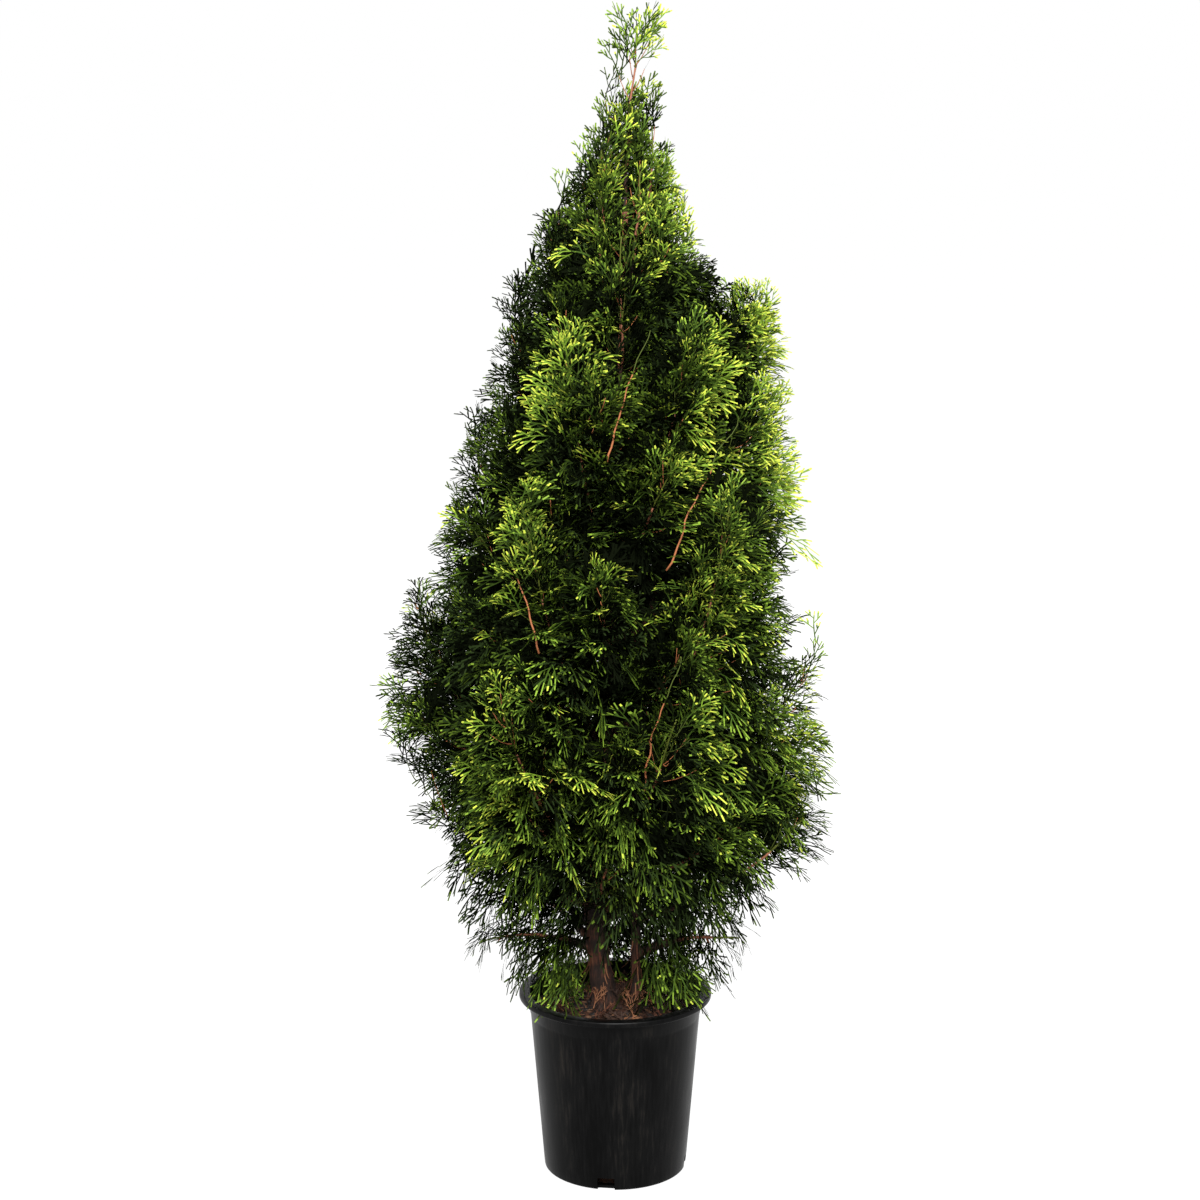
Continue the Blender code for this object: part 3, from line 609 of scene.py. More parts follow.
def make_pot(pot):
    """The pot: a turned shell with a rolled lip, a raised band under it and drain slots at its foot."""
    band = pot.height - pot.band_drop
    lip_foot = pot.height - pot.lip_height
    corner = pot.corner
    roll = LIP_ROLL
    inner = wall_radius(pot, lip_foot) - pot.wall
    raised = wall_radius(pot, band) + pot.band_step
    stations = rounded((pot.base_radius - corner, corner), corner, -90, -5, 4)
    stations += [(wall_radius(pot, h), h) for h in (*WALL_RINGS, band - 0.004)]
    stations += [(wall_radius(pot, band) + 0.0002, band), (raised, band + 0.0014)]
    stations += [(wall_radius(pot, lip_foot) + pot.band_step, lip_foot - 0.0022)]
    stations += [(wall_radius(pot, lip_foot) + 0.0022, lip_foot - 0.0004)]
    stations += [(pot.lip_radius - 0.0024, lip_foot)]
    stations += rounded((pot.lip_radius - roll, lip_foot + roll), roll, -70, 0, 3)
    stations += rounded((pot.lip_radius - roll, pot.height - roll), roll, 0, 90, 4)
    stations += rounded((inner + roll + 0.0012, pot.height - roll), roll, 100, 180, 3)
    stations += [(wall_radius(pot, h) - pot.wall, h) for h in (*INSIDE_RINGS, pot.floor + 0.002)]
    stations += [(wall_radius(pot, 0) - pot.wall - 0.002, pot.floor), (0.030, pot.floor)]
    shell = turned("pot_shell", stations, 128)
    for k in range(pot.slots):
        cut_slot(pot, shell, pot.slot_turn + 2 * math.pi * k / pot.slots)
    deselect()
    shell.select_set(True)
    bpy.context.view_layer.objects.active = shell
    bpy.ops.object.shade_smooth_by_angle(angle=math.radians(32))
    add_to_plant(shell, "pot", black_polypropylene(pot.colour))


def soil_height(x, y):
    """The compost's surface: dished, lumpy, and heaped a little round the trunk."""
    radius = math.hypot(x, y)
    lumps = noise.noise(Vector((x * 55, y * 55, 1.7))) * 0.0035
    crumbs = noise.noise(Vector((x * 160, y * 160, 4.0))) * 0.0016
    heap = 0.012 * math.exp(-(((x + 0.010) ** 2 + (y + 0.004) ** 2) / 0.0018))
    return SOIL_LEVEL + 0.0024 * (radius / 0.118) ** 3 + (lumps + crumbs) + heap


def make_soil(pot):
    """The compost: a turned body that fills the pot, held back from the slots, with a lumpy top."""
    clear = pot.wall + 0.0002
    low = pot.floor + TOUCH
    edge = wall_radius(pot, SOIL_LEVEL) - clear
    stations = [(wall_radius(pot, low) - 0.016, low), (wall_radius(pot, 0.016) - 0.015, 0.016)]
    stations += [(wall_radius(pot, h) - clear, h) for h in (0.024, 0.05, 0.10, 0.15, 0.20)]
    stations += [(edge * (1 - k / 34), SOIL_LEVEL) for k in range(34)]
    soil = turned("compost", stations, 96)
    for vertex in soil.data.vertices:
        if vertex.co.z > SOIL_LEVEL - 0.001:
            vertex.co.z = soil_height(vertex.co.x, vertex.co.y)
    soil.data.shade_smooth()
    add_to_plant(soil, "soil", damp_compost("damp_compost"))


def strew_chips(heap, chance, count):
    """Angular bark chips on the compost."""
    for _ in range(count):
        angle = chance.uniform(0, 2 * math.pi)
        radius = CHIP_REACH * math.sqrt(chance.random())
        x, y = radius * math.cos(angle), radius * math.sin(angle)
        long = chance.uniform(0.005, 0.022)
        wide = chance.uniform(0.0022, 0.0065)
        thick = chance.uniform(0.0008, 0.0026)
        turn = Matrix.Rotation(chance.uniform(0, 6.3), 3, "Z") @ Matrix.Rotation(chance.gauss(0, 0.3), 3, "Y")
        turn = turn @ Matrix.Rotation(chance.gauss(0, 0.35), 3, "X")
        shape = [
            (s * long / 2 * chance.uniform(0.7, 1.1), c * wide / 2 * chance.uniform(0.5, 1.1), h * thick)
            for h in (0, 1) for s, c in ((-1, -1), (1, -1), (1, 1), (-1, 1))
        ]
        base = Vector((x, y, soil_height(x, y) - 0.0004))
        points = [tuple(base + turn @ Vector(p)) for p in shape]
        faces = [(0, 2, 1), (0, 3, 2), (4, 5, 6), (4, 6, 7)]
        for a, b in ((0, 1), (1, 2), (2, 3), (3, 0)):
            faces += [(a, b, b + 4), (a, b + 4, a + 4)]
        heap.add("chips_" + chance.choice(("dark", "dark", "red", "pale")), points, faces)


def strew_sprays(heap, chance, count):
    """Dead sprays that lie on the compost, and lean on the stems near them."""
    sprays = [Spray(f"fallen {i}", length, DRY) for i, length in enumerate((0.040, 0.055, 0.070))]
    for _ in range(count):
        angle = chance.uniform(0, 2 * math.pi)
        radius = FALLEN_REACH * math.sqrt(chance.random())
        x, y = radius * math.cos(angle), radius * math.sin(angle)
        heading = chance.uniform(0, 2 * math.pi)
        leans = math.hypot(x - 0.005, y + 0.010) < 0.055
        aim = Vector((math.cos(heading), math.sin(heading), chance.uniform(0.1, 0.5)))
        if leans:
            aim = Vector((-x * 9, -y * 9, chance.uniform(0.8, 1.8)))
        aim.normalize()
        spray = chance.choice(sprays)
        size = spray.length * chance.uniform(0.6, 1.0)
        tip = Vector((x, y, 0)) + aim * size
        if math.hypot(tip.x, tip.y) > FALLEN_TIP_REACH:
            aim = Vector((-aim.x, -aim.y, aim.z))
        origin = Vector((x, y, soil_height(x, y) + 0.001))
        normal = Matrix.Rotation(chance.gauss(0, 0.7), 3, aim) @ aim.cross(across(aim))
        tone = chance.choice(("russet", "brown", "brown", "tan"))
        place_spray(heap, spray, origin, aim, normal, size, 0.25, (f"litter_{tone}",) * 5)


def loosen_bark(heap, chance, count):
    """Loose strips of bark that stand off the stems' feet."""
    steps = 5
    for k in range(count):
        stem = TRUNK if k % 3 else SECOND_STEM
        height = chance.uniform(0.236, 0.345)
        centre, radius = place_on(stem, height)
        out = polar(1.0, chance.uniform(0, 2 * math.pi), 0.0)
        side = out.cross(Vector((0, 0, 1)))
        length = chance.uniform(0.018, 0.055)
        wide = chance.uniform(0.0012, 0.0034)
        flare = chance.uniform(0.15, 0.55)
        points, faces = [], []
        for i in range(steps + 1):
            t = i / steps
            place = centre + out * (radius + 0.0006 + flare * length * t**2)
            place -= Vector((0, 0, length * (t - 0.25 * t**2)))
            place.z = max(place.z, soil_height(place.x, place.y) + 0.001)
            half = side * (wide / 2 * (1 - 0.6 * t))
            points += [tuple(place + half), tuple(place - half)]
            if i:
                a = 2 * i - 2
                faces += [(a, a + 1, a + 3), (a, a + 3, a + 2)]
        heap.add("litter_" + chance.choice(("russet", "tan")), points, faces)


def make_litter(compost):
    """Bark chips, fallen russet sprays and shed bark strips on the compost and against the stems."""
    chance = random.Random(f"{SEED} litter")
    heap = Heap()
    strew_chips(heap, chance, compost.chips)
    strew_sprays(heap, chance, compost.fallen_sprays)
    loosen_bark(heap, chance, compost.bark_strips)
    colours = {
        "chips_dark": compost.dark_chips, "chips_red": compost.red_chips, "chips_pale": compost.pale_chips,
        "litter_russet": compost.russet, "litter_tan": compost.tan, "litter_brown": compost.brown,
    }
    for kind, colour in colours.items():
        heap.pieces(kind, plain_finish("dry_" + kind, colour, 0.8, 0.2))


# ---------------------------------------------------------------- limbs
LIMB_STEPS = 30
# Bark reaches this share of the way along a limb's leafy part, and the limb is green from here on.
BARK_SHARE = 0.22
GREEN_FROM = 0.78


def limb_path(mass, wood):
    """Points and radii of a mass's limb, from its bare foot to where it ends inside the crown."""
    path = []
    end = STEM_END
    while crown_share(mass.along(end)) > LIMB_EDGE and end > mass.bare + 0.3:
        end -= 0.02
    for i in range(LIMB_STEPS + 1):
        t = end * i / LIMB_STEPS
        s = (t - mass.bare) / (1 - mass.bare)
        if s < 0:
            radius = wood.bough_radius * (1.25 - 0.25 * t / mass.bare)
        else:
            radius = wood.stem_radius + (wood.tip_radius - wood.stem_radius) * s**0.8
        turns = [noise.noise(Vector((t * 5, mass.azimuth * 3, c))) for c in (0.0, 4.0, 8.0)]
        path.append((mass.along(t) + Vector(turns) * 0.006 * t, radius))
    return path


def make_limbs(wood, foliage):
    """Trunk, second stem and boughs in bark, and the masses' stems in younger wood."""
    heap = Heap()
    trunk = smooth_path(TRUNK, 260)
    young = next(i for i, (place, _) in enumerate(trunk) if place.z > wood.young_height)
    add_tube(heap, "trunk_bark", trunk[: young + 1], 28, 0.22, 0.30)
    add_tube(heap, "young_stems", trunk[young:], 12, 0.06)
    add_tube(heap, "second_stem_bark", smooth_path(SECOND_STEM, 150), 16, 0.18, 0.25)
    for mass in all_boughs(foliage):
        path = limb_path(mass, wood)
        bare = max(2, round(LIMB_STEPS * (mass.bare + (1 - mass.bare) * BARK_SHARE)))
        green = round(LIMB_STEPS * GREEN_FROM)
        add_tube(heap, "bough_bark", path[: bare + 1], 10, 0.16)
        add_tube(heap, "young_stems", path[bare : green + 1], 6)
        add_tube(heap, "green_stems", path[green:], 5)
    bark = fibrous_bark()
    replaced = {"trunk_bark": ("trunk",), "second_stem_bark": ("second_stem",), "bough_bark": BOUGH_NODES}
    for kind, nodes in replaced.items():
        for piece in heap.pieces(kind, bark, smooth=True):
            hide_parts(*nodes)
    young_wood = plain_finish("young_orange_wood", wood.young_colour, 0.6, 0.12)
    heap.pieces("young_stems", young_wood, smooth=True)
    green_wood = plain_finish("green_wood", wood.green_colour, 0.55, 0.08)
    heap.pieces("green_stems", green_wood, smooth=True)


# ---------------------------------------------------------------- sprays
class Habit:
    """How a kind of spray grows: widths and steps in metres, angles in degrees, bare share of a shoot."""

    def __init__(self, width, axis_step, shoot_step, shoot_angle, finger_angle, finger, spread, steps, bare):
        self.width = width
        self.axis_step = axis_step
        self.shoot_step = shoot_step
        self.shoot_angle = shoot_angle
        self.finger_angle = finger_angle
        self.finger = finger
        self.spread = spread
        self.steps = steps
        self.bare = bare


FAN = Habit(0.0026, 0.0104, 0.0102, (34, 47), (27, 39), (0.0115, 0.0200), 0.48, 3, 0.28)
WHIP = Habit(0.0025, 0.0130, 0.0116, (29, 42), (25, 37), (0.0135, 0.0235), 0.52, 4, 0.30)
OPEN = Habit(0.0027, 0.0118, 0.0100, (33, 47), (27, 40), (0.0105, 0.0190), 0.50, 3, 0.25)
DRY = Habit(0.0021, 0.0080, 0.0085, (28, 46), (26, 44), (0.0060, 0.0120), 0.45, 3, 0.20)
FILL = Habit(0.0032, 0.0092, 0.0095, (34, 50), (30, 46), (0.0080, 0.0170), 0.50, 1, 0.15)
# The part of a spray that counts as its inside, painted a step darker as painted shade from the sprays before
# it.
INNER_SHARE = 0.36
# Fingers on the side of a shoot that faces away from the spray's tip are this much of the others' length.
OUTER_FINGER = 0.85
SHORT_FINGER = 0.0085
# Shares of the fingers whose bodies and whose tips are painted a step lighter than the others, as painted
# highlights.
LIT_BODIES = 0.45
LIT_TIPS = 0.24


class Spray:
    """One flat spray along +Y with its face to +Z: ribbons for axis, side shoots and blunt fingers."""

    BODY, LIT_BODY, TIP, LIT_TIP = range(4)

    def __init__(self, seed, length, habit):
        self.random = random.Random(f"{SEED} spray {seed}")
        self.length = length
        self.habit = habit
        self.coarse = habit.steps == 1
        self.points, self.faces, self.kinds = [], [], []
        self.grow_axis()
        points = np.array(self.points)
        self.curl(points)
        faces = np.array(self.faces, dtype=np.int64)
        kinds = np.array(self.kinds)
        inner = points[faces[:, 0], 1] < INNER_SHARE * length
        self.parts = []
        for wanted in (inner, *(~inner & (kinds == kind) for kind in range(4))):
            used, places = np.unique(faces[wanted], return_inverse=True)
            self.parts.append((points[used], places.reshape(-1, 3)))

    def ribbon(self, line, widths, roll, body, tip):
        """A flat ribbon along a line, tilted about it by roll. Its last stretch is of the tip's kind."""
        base = len(self.points)
        last = len(line) - 1
        lift = math.sin(roll)
        for i, (x, y, z) in enumerate(line):
            ahead_x = line[min(i + 1, last)][0] - line[max(i - 1, 0)][0]
            ahead_y = line[min(i + 1, last)][1] - line[max(i - 1, 0)][1]
            size = math.hypot(ahead_x, ahead_y) + 1e-9
            half = widths[i] / 2
            across = (-ahead_y / size * half, ahead_x / size * half)
            self.points.append((x + across[0], y + across[1], z + lift * half))
            self.points.append((x - across[0], y - across[1], z - lift * half))
        for i in range(last):
            a = base + 2 * i
            self.faces += [(a, a + 1, a + 3), (a, a + 3, a + 2)]
            self.kinds += [tip if i == last - 1 else body] * 2

    def finger(self, root, angle, length):
        """A blunt finger. Short ones are of one stretch."""
        x, y, z = root
        width = self.habit.width * self.random.uniform(0.85, 1.12)
        bend = angle + self.random.uniform(-0.16, 0.16)
        share = self.random.uniform(0.58, 0.80)
        lift = self.random.uniform(-0.08, 0.12) * length
        first = length * share
        rest = length * (1 - share)
        middle = (x + math.sin(angle) * first, y + math.cos(angle) * first, z + lift * share)
        tip = (middle[0] + math.sin(bend) * rest, middle[1] + math.cos(bend) * rest, z + lift)
        roll = self.random.uniform(-0.6, 0.6)
        body = self.LIT_BODY if self.random.random() < LIT_BODIES else self.BODY
        end = self.LIT_TIP if self.random.random() < LIT_TIPS else self.TIP
        if self.coarse or length < SHORT_FINGER:
            whole = end if length < SHORT_FINGER else body
            self.ribbon([root, tip], [width * 0.7, width * 0.9], roll, body, whole)
        else:
            self.ribbon([root, middle, tip], [width * 0.6, width, width * 0.72], roll, body, end)

    def shoot(self, root, angle, length, side):
        """A side shoot that curves towards the tip of the spray, with fingers that leave it by turns."""
        habit = self.habit
        bend = -side * self.random.uniform(0.10, 0.40)
        steps = min(habit.steps, 3 if length > 0.022 else 2)
        line = [root]
        turn = angle
        lift = self.random.uniform(-0.10, 0.14)
        for _ in range(steps):
            turn += bend / steps
            x, y, z = line[-1]
            pace = length / steps
            line.append((x + math.sin(turn) * pace, y + math.cos(turn) * pace, z + lift * pace))
        widths = [habit.width * (0.55 + 0.35 * i / steps) for i in range(steps)] + [habit.width * 0.7]
        self.ribbon(line, widths, self.random.uniform(-0.4, 0.4), self.BODY, self.TIP)
        count = int(length * (1 - habit.bare) / habit.shoot_step)
        for k in range(count):
            share = habit.bare + habit.shoot_step * (k + 0.3) / length
            place = min(share, 0.96) * steps
            i = min(int(place), steps - 1)
            f = place - i
            root_here = tuple(p * (1 - f) + q * f for p, q in zip(line[i], line[i + 1]))
            turn_side = side if k % 2 else -side
            own = angle + bend * share + turn_side * math.radians(self.random.uniform(*habit.finger_angle))
            size = self.random.uniform(*habit.finger) * (1.15 - 0.40 * share)
            self.finger(root_here, own, size * (OUTER_FINGER if k % 2 else 1.0))

    def grow_axis(self):
        """The spray's axis, bent to a sickle, with side shoots by turns that are longest low down."""
        habit = self.habit
        length = self.length
        sickle = self.random.uniform(-0.55, 0.55)
        steps = 3 if self.coarse else 6
        line = [(0.0, 0.0, 0.0)]
        for k in range(steps):
            turn = sickle * (k + 0.5) / steps
            x, y, z = line[-1]
            line.append((x + math.sin(turn) * length / steps, y + math.cos(turn) * length / steps, z))
        widths = [habit.width * (0.75 - 0.15 * k / steps) for k in range(steps)] + [habit.width * 0.7]
        self.ribbon(line, widths, 0.0, self.BODY, self.TIP)
        count = int((length * 0.92 - 0.008) / habit.axis_step)
        lean = self.random.uniform(0.8, 1.2)
        for k in range(count):
            share = (0.010 + habit.axis_step * (k + 0.3)) / length
            place = min(share, 0.97) * steps
            i = min(int(place), steps - 1)
            f = place - i
            root = tuple(p * (1 - f) + q * f for p, q in zip(line[i], line[i + 1]))
            side = 1 if k % 2 else -1
            taper = (1 - share) ** 0.8 * min(1.0, 0.40 + share * 2.2)
            size = (0.009 + length * habit.spread * taper) * self.random.uniform(0.75, 1.15)
            size *= lean if side > 0 else 2 - lean
            angle = sickle * share + side * math.radians(self.random.uniform(*habit.shoot_angle))
            self.shoot(root, angle, size, side)

    def curl(self, points):
        """Bows the spray lengthwise and lets its sides hang a little, with a slight ripple."""
        x, y = points[:, 0], points[:, 1]
        long_bow = self.random.uniform(-0.5, 3.6)
        side_bow = self.random.uniform(-1.5, 5.0)
        ripple = 0.0014 * np.sin(x * 140 + self.random.uniform(0, 6)) * np.sin(y * 85)
        points[:, 2] += ripple - long_bow * y * y - side_bow * x * x


def place_spray(heap, spray, origin, direction, normal, size, hang, colours):
    """Puts a spray in the crown: its axis along direction, its face along normal, its tip hanging."""
    scale = size / spray.length
    side = direction.cross(normal).normalized()
    normal = side.cross(direction).normalized()
    turn = np.array([side, direction, normal]) * scale
    for colour, (points, faces) in zip(colours, spray.parts):
        placed = points @ turn + np.array(origin)
        placed[:, 2] -= hang * size * (points[:, 1] / spray.length) ** 2
        heap.add(colour, placed, faces)


# ---------------------------------------------------------------- foliage
FAN_LENGTHS = (0.062, 0.074, 0.086, 0.098, 0.110, 0.080, 0.092, 0.068)
WHIP_LENGTHS = (0.090, 0.105, 0.120, 0.135, 0.112, 0.098)
# Steps of painted light and shade: a spray's leaves and tips take lit and shaded copies of the same greens.
LEVELS = ("shade", "deep", "mid", "full_light")
LEVEL_STEPS = (0.18, 0.41, 0.64)
# The filling is painted shade: all its parts take the shade leaf colour.
SHADED = ("sprays_shade",) * 5
# How steeply shoots rise, in degrees, at each height of the crown.
FLOW_HEIGHTS = (0.30, 0.40, 0.52, 0.65, 0.80, 1.00, 1.20, 1.45)
FLOW_LIFTS = (-55, -38, -12, 14, 36, 52, 62, 72)
# How far the tips of a tier's sprays hang, as a share of their length.
HANG = {
    "crown": 0.0, "shoulder": 0.05, "upper": 0.05, "middle": 0.10, "broad": 0.16, "low": 0.26, "skirt": 0.40,
}
# Share along the twig, swing to its side and share of its length, for each spray that a twig bears.
TWIG_SPRAYS = ((0.12, 46, 0.84), (0.32, -42, 0.84), (0.50, 34, 0.76), (0.60, -6, 0.76))
# How much further apart the twigs of the open tiers stand.
SPARSE = {"low": 1.25, "skirt": 1.1, "crown": 1.3}
FEWEST_TWIGS = 14
SHORTEST_TWIG = 0.06
TWIG_SAG = 0.004
TWIG_RADIUS = 0.0010
SMALLEST_SPRAY = 0.045
CROWN_FLOOR = 0.262
# The top of the crown starts at this height, and is at its most open this much further up.
TOP_FROM = 1.28
TOP_SPAN = 0.3
# Shares of the sprays that are left out, so that the sky shows through: at the top, on both sides of the
# low crown and on the right.
OPEN_TOP = 0.45
OPEN_LOW = 0.42
OPEN_RIGHT = 0.20
# Sprays are full ones from this far out, or this high up, and coarse ones inside.
NEAR_SHARE = 0.52
NEAR_HEIGHT = 1.12
# To the right of this place the top of the crown gets painted sunlight.
SUNNY_FROM = 0.005
# How much painted light or painted shade sprays get: by chance, on the crown's ridges, at the top in the
# shade and in the sun, in the low tiers, towards the sides, at the back and at the right edge.
CHANCE_LIGHT = 0.23
RIDGE_LIGHT = 0.44
TOP_LIGHT = 0.35
TOP_SUN = 0.65
LOW_SHADE = 0.42
SIDE_SHADE = 0.30
BACK_LIGHT = 0.12
EDGE_LIGHT = 0.10
# The filling, dark with painted shade, stays inside this share of the way out.
FILL_EDGE = 0.80
FILL_HANG = 0.1
FILL_HEIGHTS = (0.32, 1.22)
# Sprays that hang all round the stems' foot, and more of them on both sides of its front.
LOW_SPRAYS = 105
FRONT_SPRAYS = 22
# The rim as hanging sprays meet it: its top, the radii inside and outside of it, and where sprays end.
RIM_TOP = 0.262
RIM_INSIDE = 0.116
RIM_OUTSIDE = 0.140
COMPOST_CLEAR = 0.236
OVER_SIDE = 0.200
# Long thin shoots that show on the front of the crown: height and place of foot, middle and end.
LONG_SHOOTS = (
    ((1.030, -0.010), (1.110, 0.010), (1.200, 0.046)),
    ((0.890, 0.066), (0.970, 0.098), (1.085, 0.160)),
    ((0.600, 0.034), (0.680, 0.050), (0.780, 0.088)),
    ((0.780, -0.100), (0.850, -0.118), (0.950, -0.152)),
)
# How far out in the crown they are, and the radius at their foot.
SHOOT_SHARE = 0.80
SHOOT_RADIUS = 0.0015
# Where the crown is parted in front of the stems: heights and places of a line, how far sprays keep off
# it, the share of them that do, and how far out in the crown they are.
PARTINGS = (
    (((1.13, 0.004), (1.22, 0.010), (1.345, 0.013), (1.40, 0.014)), 0.012, 0.45, 0.0),
    (((0.24, 0.004), (0.34, 0.000), (0.39, -0.006)), 0.038, 0.80, 0.0),
    *((line, 0.007, 0.42, SHOOT_SHARE - 0.03) for line in LONG_SHOOTS),
)


class Stock:
    """The sprays that are grown once and placed again and again."""

    def __init__(self):
        self.fans = [Spray(i, length, FAN) for i, length in enumerate(FAN_LENGTHS * 3)]
        self.whips = [Spray(i + 30, length, WHIP) for i, length in enumerate(WHIP_LENGTHS * 3)]
        self.opens = [Spray(i + 90, length, OPEN) for i, length in enumerate(FAN_LENGTHS * 2)]
        self.fills = [Spray(i + 60, length, FILL) for i, length in enumerate(FAN_LENGTHS)]


def flow(point):
    """The way that shoots point there: outwards, and upwards the higher they grow."""
    lift = math.radians(float(np.interp(point.z, FLOW_HEIGHTS, FLOW_LIFTS)))
    outward = Vector((point.x, point.y, 0))
    outward = outward.normalized() if outward.length > 0.02 else Vector((0, 0, 0))
    return (outward * math.cos(lift) + Vector((0, 0, math.sin(lift)))).normalized()


def plume(point):
    """A slow upright ripple, about -0.5 to 0.5: full ridges of foliage in painted light and folds in painted
    shade.
    """
    return noise.noise(Vector((point.x * 13, point.y * 13, point.z * 4.5)))


def twig_rule(mass, k, count):
    """Start, direction and length of twig k of a mass."""
    s = 0.01 + 0.97 * (k + 0.5) / count + mass.random.uniform(-0.02, 0.02)
    s = min(max(s, 0.0), 1.0)
    t = mass.stem_at(s)
    ahead = mass.heading(t)
    outward = polar(1.0, mass.azimuth, 0.0)
    outward = (outward - ahead * outward.dot(ahead)).normalized()
    sideways = ahead.cross(outward)
    turn = k * GOLDEN + mass.random.uniform(-0.3, 0.3)
    angle = math.radians(68 + (24 - 68) * s)
    spread = outward * math.cos(turn) + sideways * math.sin(turn)
    direction = ahead * math.cos(angle) + spread * math.sin(angle)
    length = mass.reach(s) * mass.random.uniform(0.80, 1.30)
    direction = direction.normalized() + flow(mass.along(t) + direction * length) * 0.45
    return mass.along(t), direction.normalized(), max(length, SHORTEST_TWIG)


def across(direction):
    """A level direction square to a given one."""
    flat = direction.cross(Vector((0, 0, 1)))
    return flat.normalized() if flat.length > 0.1 else Vector((1, 0, 0))


def open_face(chance, direction):
    """A face for a flat spray. Two in three turn it to the front or the back, the others any way."""
    face = Vector((0, 1, 0)) - direction * direction.y
    face = face.normalized() if face.length > 0.3 else across(direction)
    turn = chance.gauss(0, 0.50) if chance.random() < 0.66 else chance.uniform(0, math.pi)
    return Matrix.Rotation(turn, 3, direction) @ face


def kept_size(chance, origin, aim, size, edge=0.80, hang=0.0):
    """The size at which a spray stays inside the crown's edge, or None. Few sprays reach the edge itself."""
    limit = edge + (1.0 - edge) * chance.random() ** 1.6
    for _ in range(4):
        tip = origin + (aim - Vector((0, 0, hang))) * size
        if CROWN_FLOOR < tip.z < CROWN_TOP and crown_share(tip) < limit:
            return size
        size *= 0.84
        if size < SMALLEST_SPRAY:
            return None
    return None


def chosen(chance, kinds, size):
    """One of the sprays that were grown to about this size."""
    near = sorted(kinds, key=lambda spray: abs(spray.length - size))
    return chance.choice(near[:4])


def place_at(line, height):
    """Where a line of heights and places is at a height."""
    return float(np.interp(height, [row[0] for row in line], [row[1] for row in line]))


def in_parting(chance, origin, aim, size):
    """Whether a spray would hang before a stem or a long shoot where the crown is parted in front of it."""
    for line, half, share, outer in PARTINGS:
        for part in (0.0, 0.35, 0.7, 1.0):
            point = origin + aim * (size * part)
            if line[0][0] < point.z < line[-1][0] and point.y < 0.0 and crown_share(point) >= outer:
                wide = half if 0.0 < part < 1.0 else half * 0.4
                if abs(point.x - place_at(line, point.z)) < wide and chance.random() < share:
                    return True
    return False


def add_long_shoots(heap):
    """The long shoots on the crown's front, orange below and green towards their ends."""
    steps, green_from = 18, 12
    for line in LONG_SHOOTS:
        path = []
        for i in range(steps + 1):
            t = i / steps
            height = line[0][0] + (line[-1][0] - line[0][0]) * t
            place = place_at(line, height)
            middle, half = crown_size(height)
            out = math.sqrt(max(SHOOT_SHARE**2 - ((place - middle) / half) ** 2, 0.0))
            wave = noise.noise(Vector((height * 34, place * 9, 3.0))) * 0.008
            depth = -half * FRONT_SHARE * (out - 0.10 * (1 - t))
            path.append((Vector((place + wave, depth, height)), SHOOT_RADIUS * (1 - 0.65 * t)))
        add_tube(heap, "twigs_orange", path[: green_from + 1], 6)
        add_tube(heap, "twigs_green", path[green_from:], 6)


def add_twig(heap, kind, start, end):
    """A thin three-sided twig from its stem to its last spray."""
    steps = 4
    path = []
    for i in range(steps + 1):
        t = i / steps
        place = start.lerp(end, t)
        place.z -= TWIG_SAG * 4 * t * (1 - t)
        path.append((place, TWIG_RADIUS * (1 - 0.55 * t)))
    add_tube(heap, kind, path, 3)


def level_kinds(level):
    """The painted light and shade kinds of a spray's parts: inner a step darker, body, lit body, tips and lit
    tips.
    """
    lower = LEVELS[max(level - 1, 0)]
    upper = LEVELS[min(level + 1, len(LEVELS) - 1)]
    own = LEVELS[level]
    return (f"sprays_{lower}", f"sprays_{own}", f"tips_{lower}", f"tips_{own}", f"tips_{upper}")


def clear_of_rim(origin, aim, size):
    """The size at which a hanging spray ends above the compost or the rim, or well over the pot's side."""
    tip = origin + aim * size
    if tip.z > RIM_TOP:
        return size
    at_rim = origin + aim * ((origin.z - RIM_TOP) / -aim.z)
    reach = math.hypot(at_rim.x, at_rim.y)
    floor = COMPOST_CLEAR if reach < RIM_INSIDE else OVER_SIDE if reach > RIM_OUTSIDE else RIM_TOP
    return min(size, (origin.z - floor) / -aim.z)


def hang_low_sprays(heap, chance, whips):
    """Lank sprays that hang round the stems' foot, into the pot and over its rim, thinnest in front."""
    for k in range(LOW_SPRAYS + FRONT_SPRAYS):
        turn = k * GOLDEN
        if k < LOW_SPRAYS:
            if chance.random() < max(0.0, -math.sin(turn)) ** 3 * 0.50:
                continue
            origin = polar(chance.uniform(0.035, 0.150), turn, chance.uniform(0.325, 0.430))
            aim = polar(chance.uniform(0.05, 0.75), turn + chance.gauss(0, 0.5), -1.0).normalized()
        else:
            turn = math.radians(270 + chance.choice((-1, 1, 1)) * chance.uniform(28, 66))
            origin = polar(chance.uniform(0.075, 0.125), turn, chance.uniform(0.335, 0.400))
            aim = polar(chance.uniform(0.15, 0.55), turn + chance.gauss(0, 0.3), -1.0).normalized()
        size = clear_of_rim(origin, aim, chance.uniform(0.090, 0.160))
        if size < 0.06 or crown_share(origin + aim * size) > 1.0 or in_parting(chance, origin, aim, size):
            continue
        face = Matrix.Rotation(chance.gauss(0, 0.7), 3, aim) @ across(aim)
        face = face.cross(aim) if chance.random() < 0.5 else face
        # Their step of painted light and shade is dealt by chance.
        kinds = level_kinds(chance.choice((0, 1, 1, 1, 2)))
        place_spray(heap, chosen(chance, whips, size), origin, aim, face, size, 0.0, kinds)


def place_fill(heap, chance, turns, fills, origin, aim, size):
    """One spray of the filling, dark with painted shade, if it stays deep enough in the crown."""
    size = kept_size(chance, origin, aim, size)
    if size is None or crown_share(origin + aim * size) > FILL_EDGE or in_parting(chance, origin, aim, size):
        return
    face = Matrix.Rotation(turns.uniform(0, 3), 3, aim) @ across(aim)
    place_spray(heap, chance.choice(fills), origin, aim, face, size, FILL_HANG, SHADED)


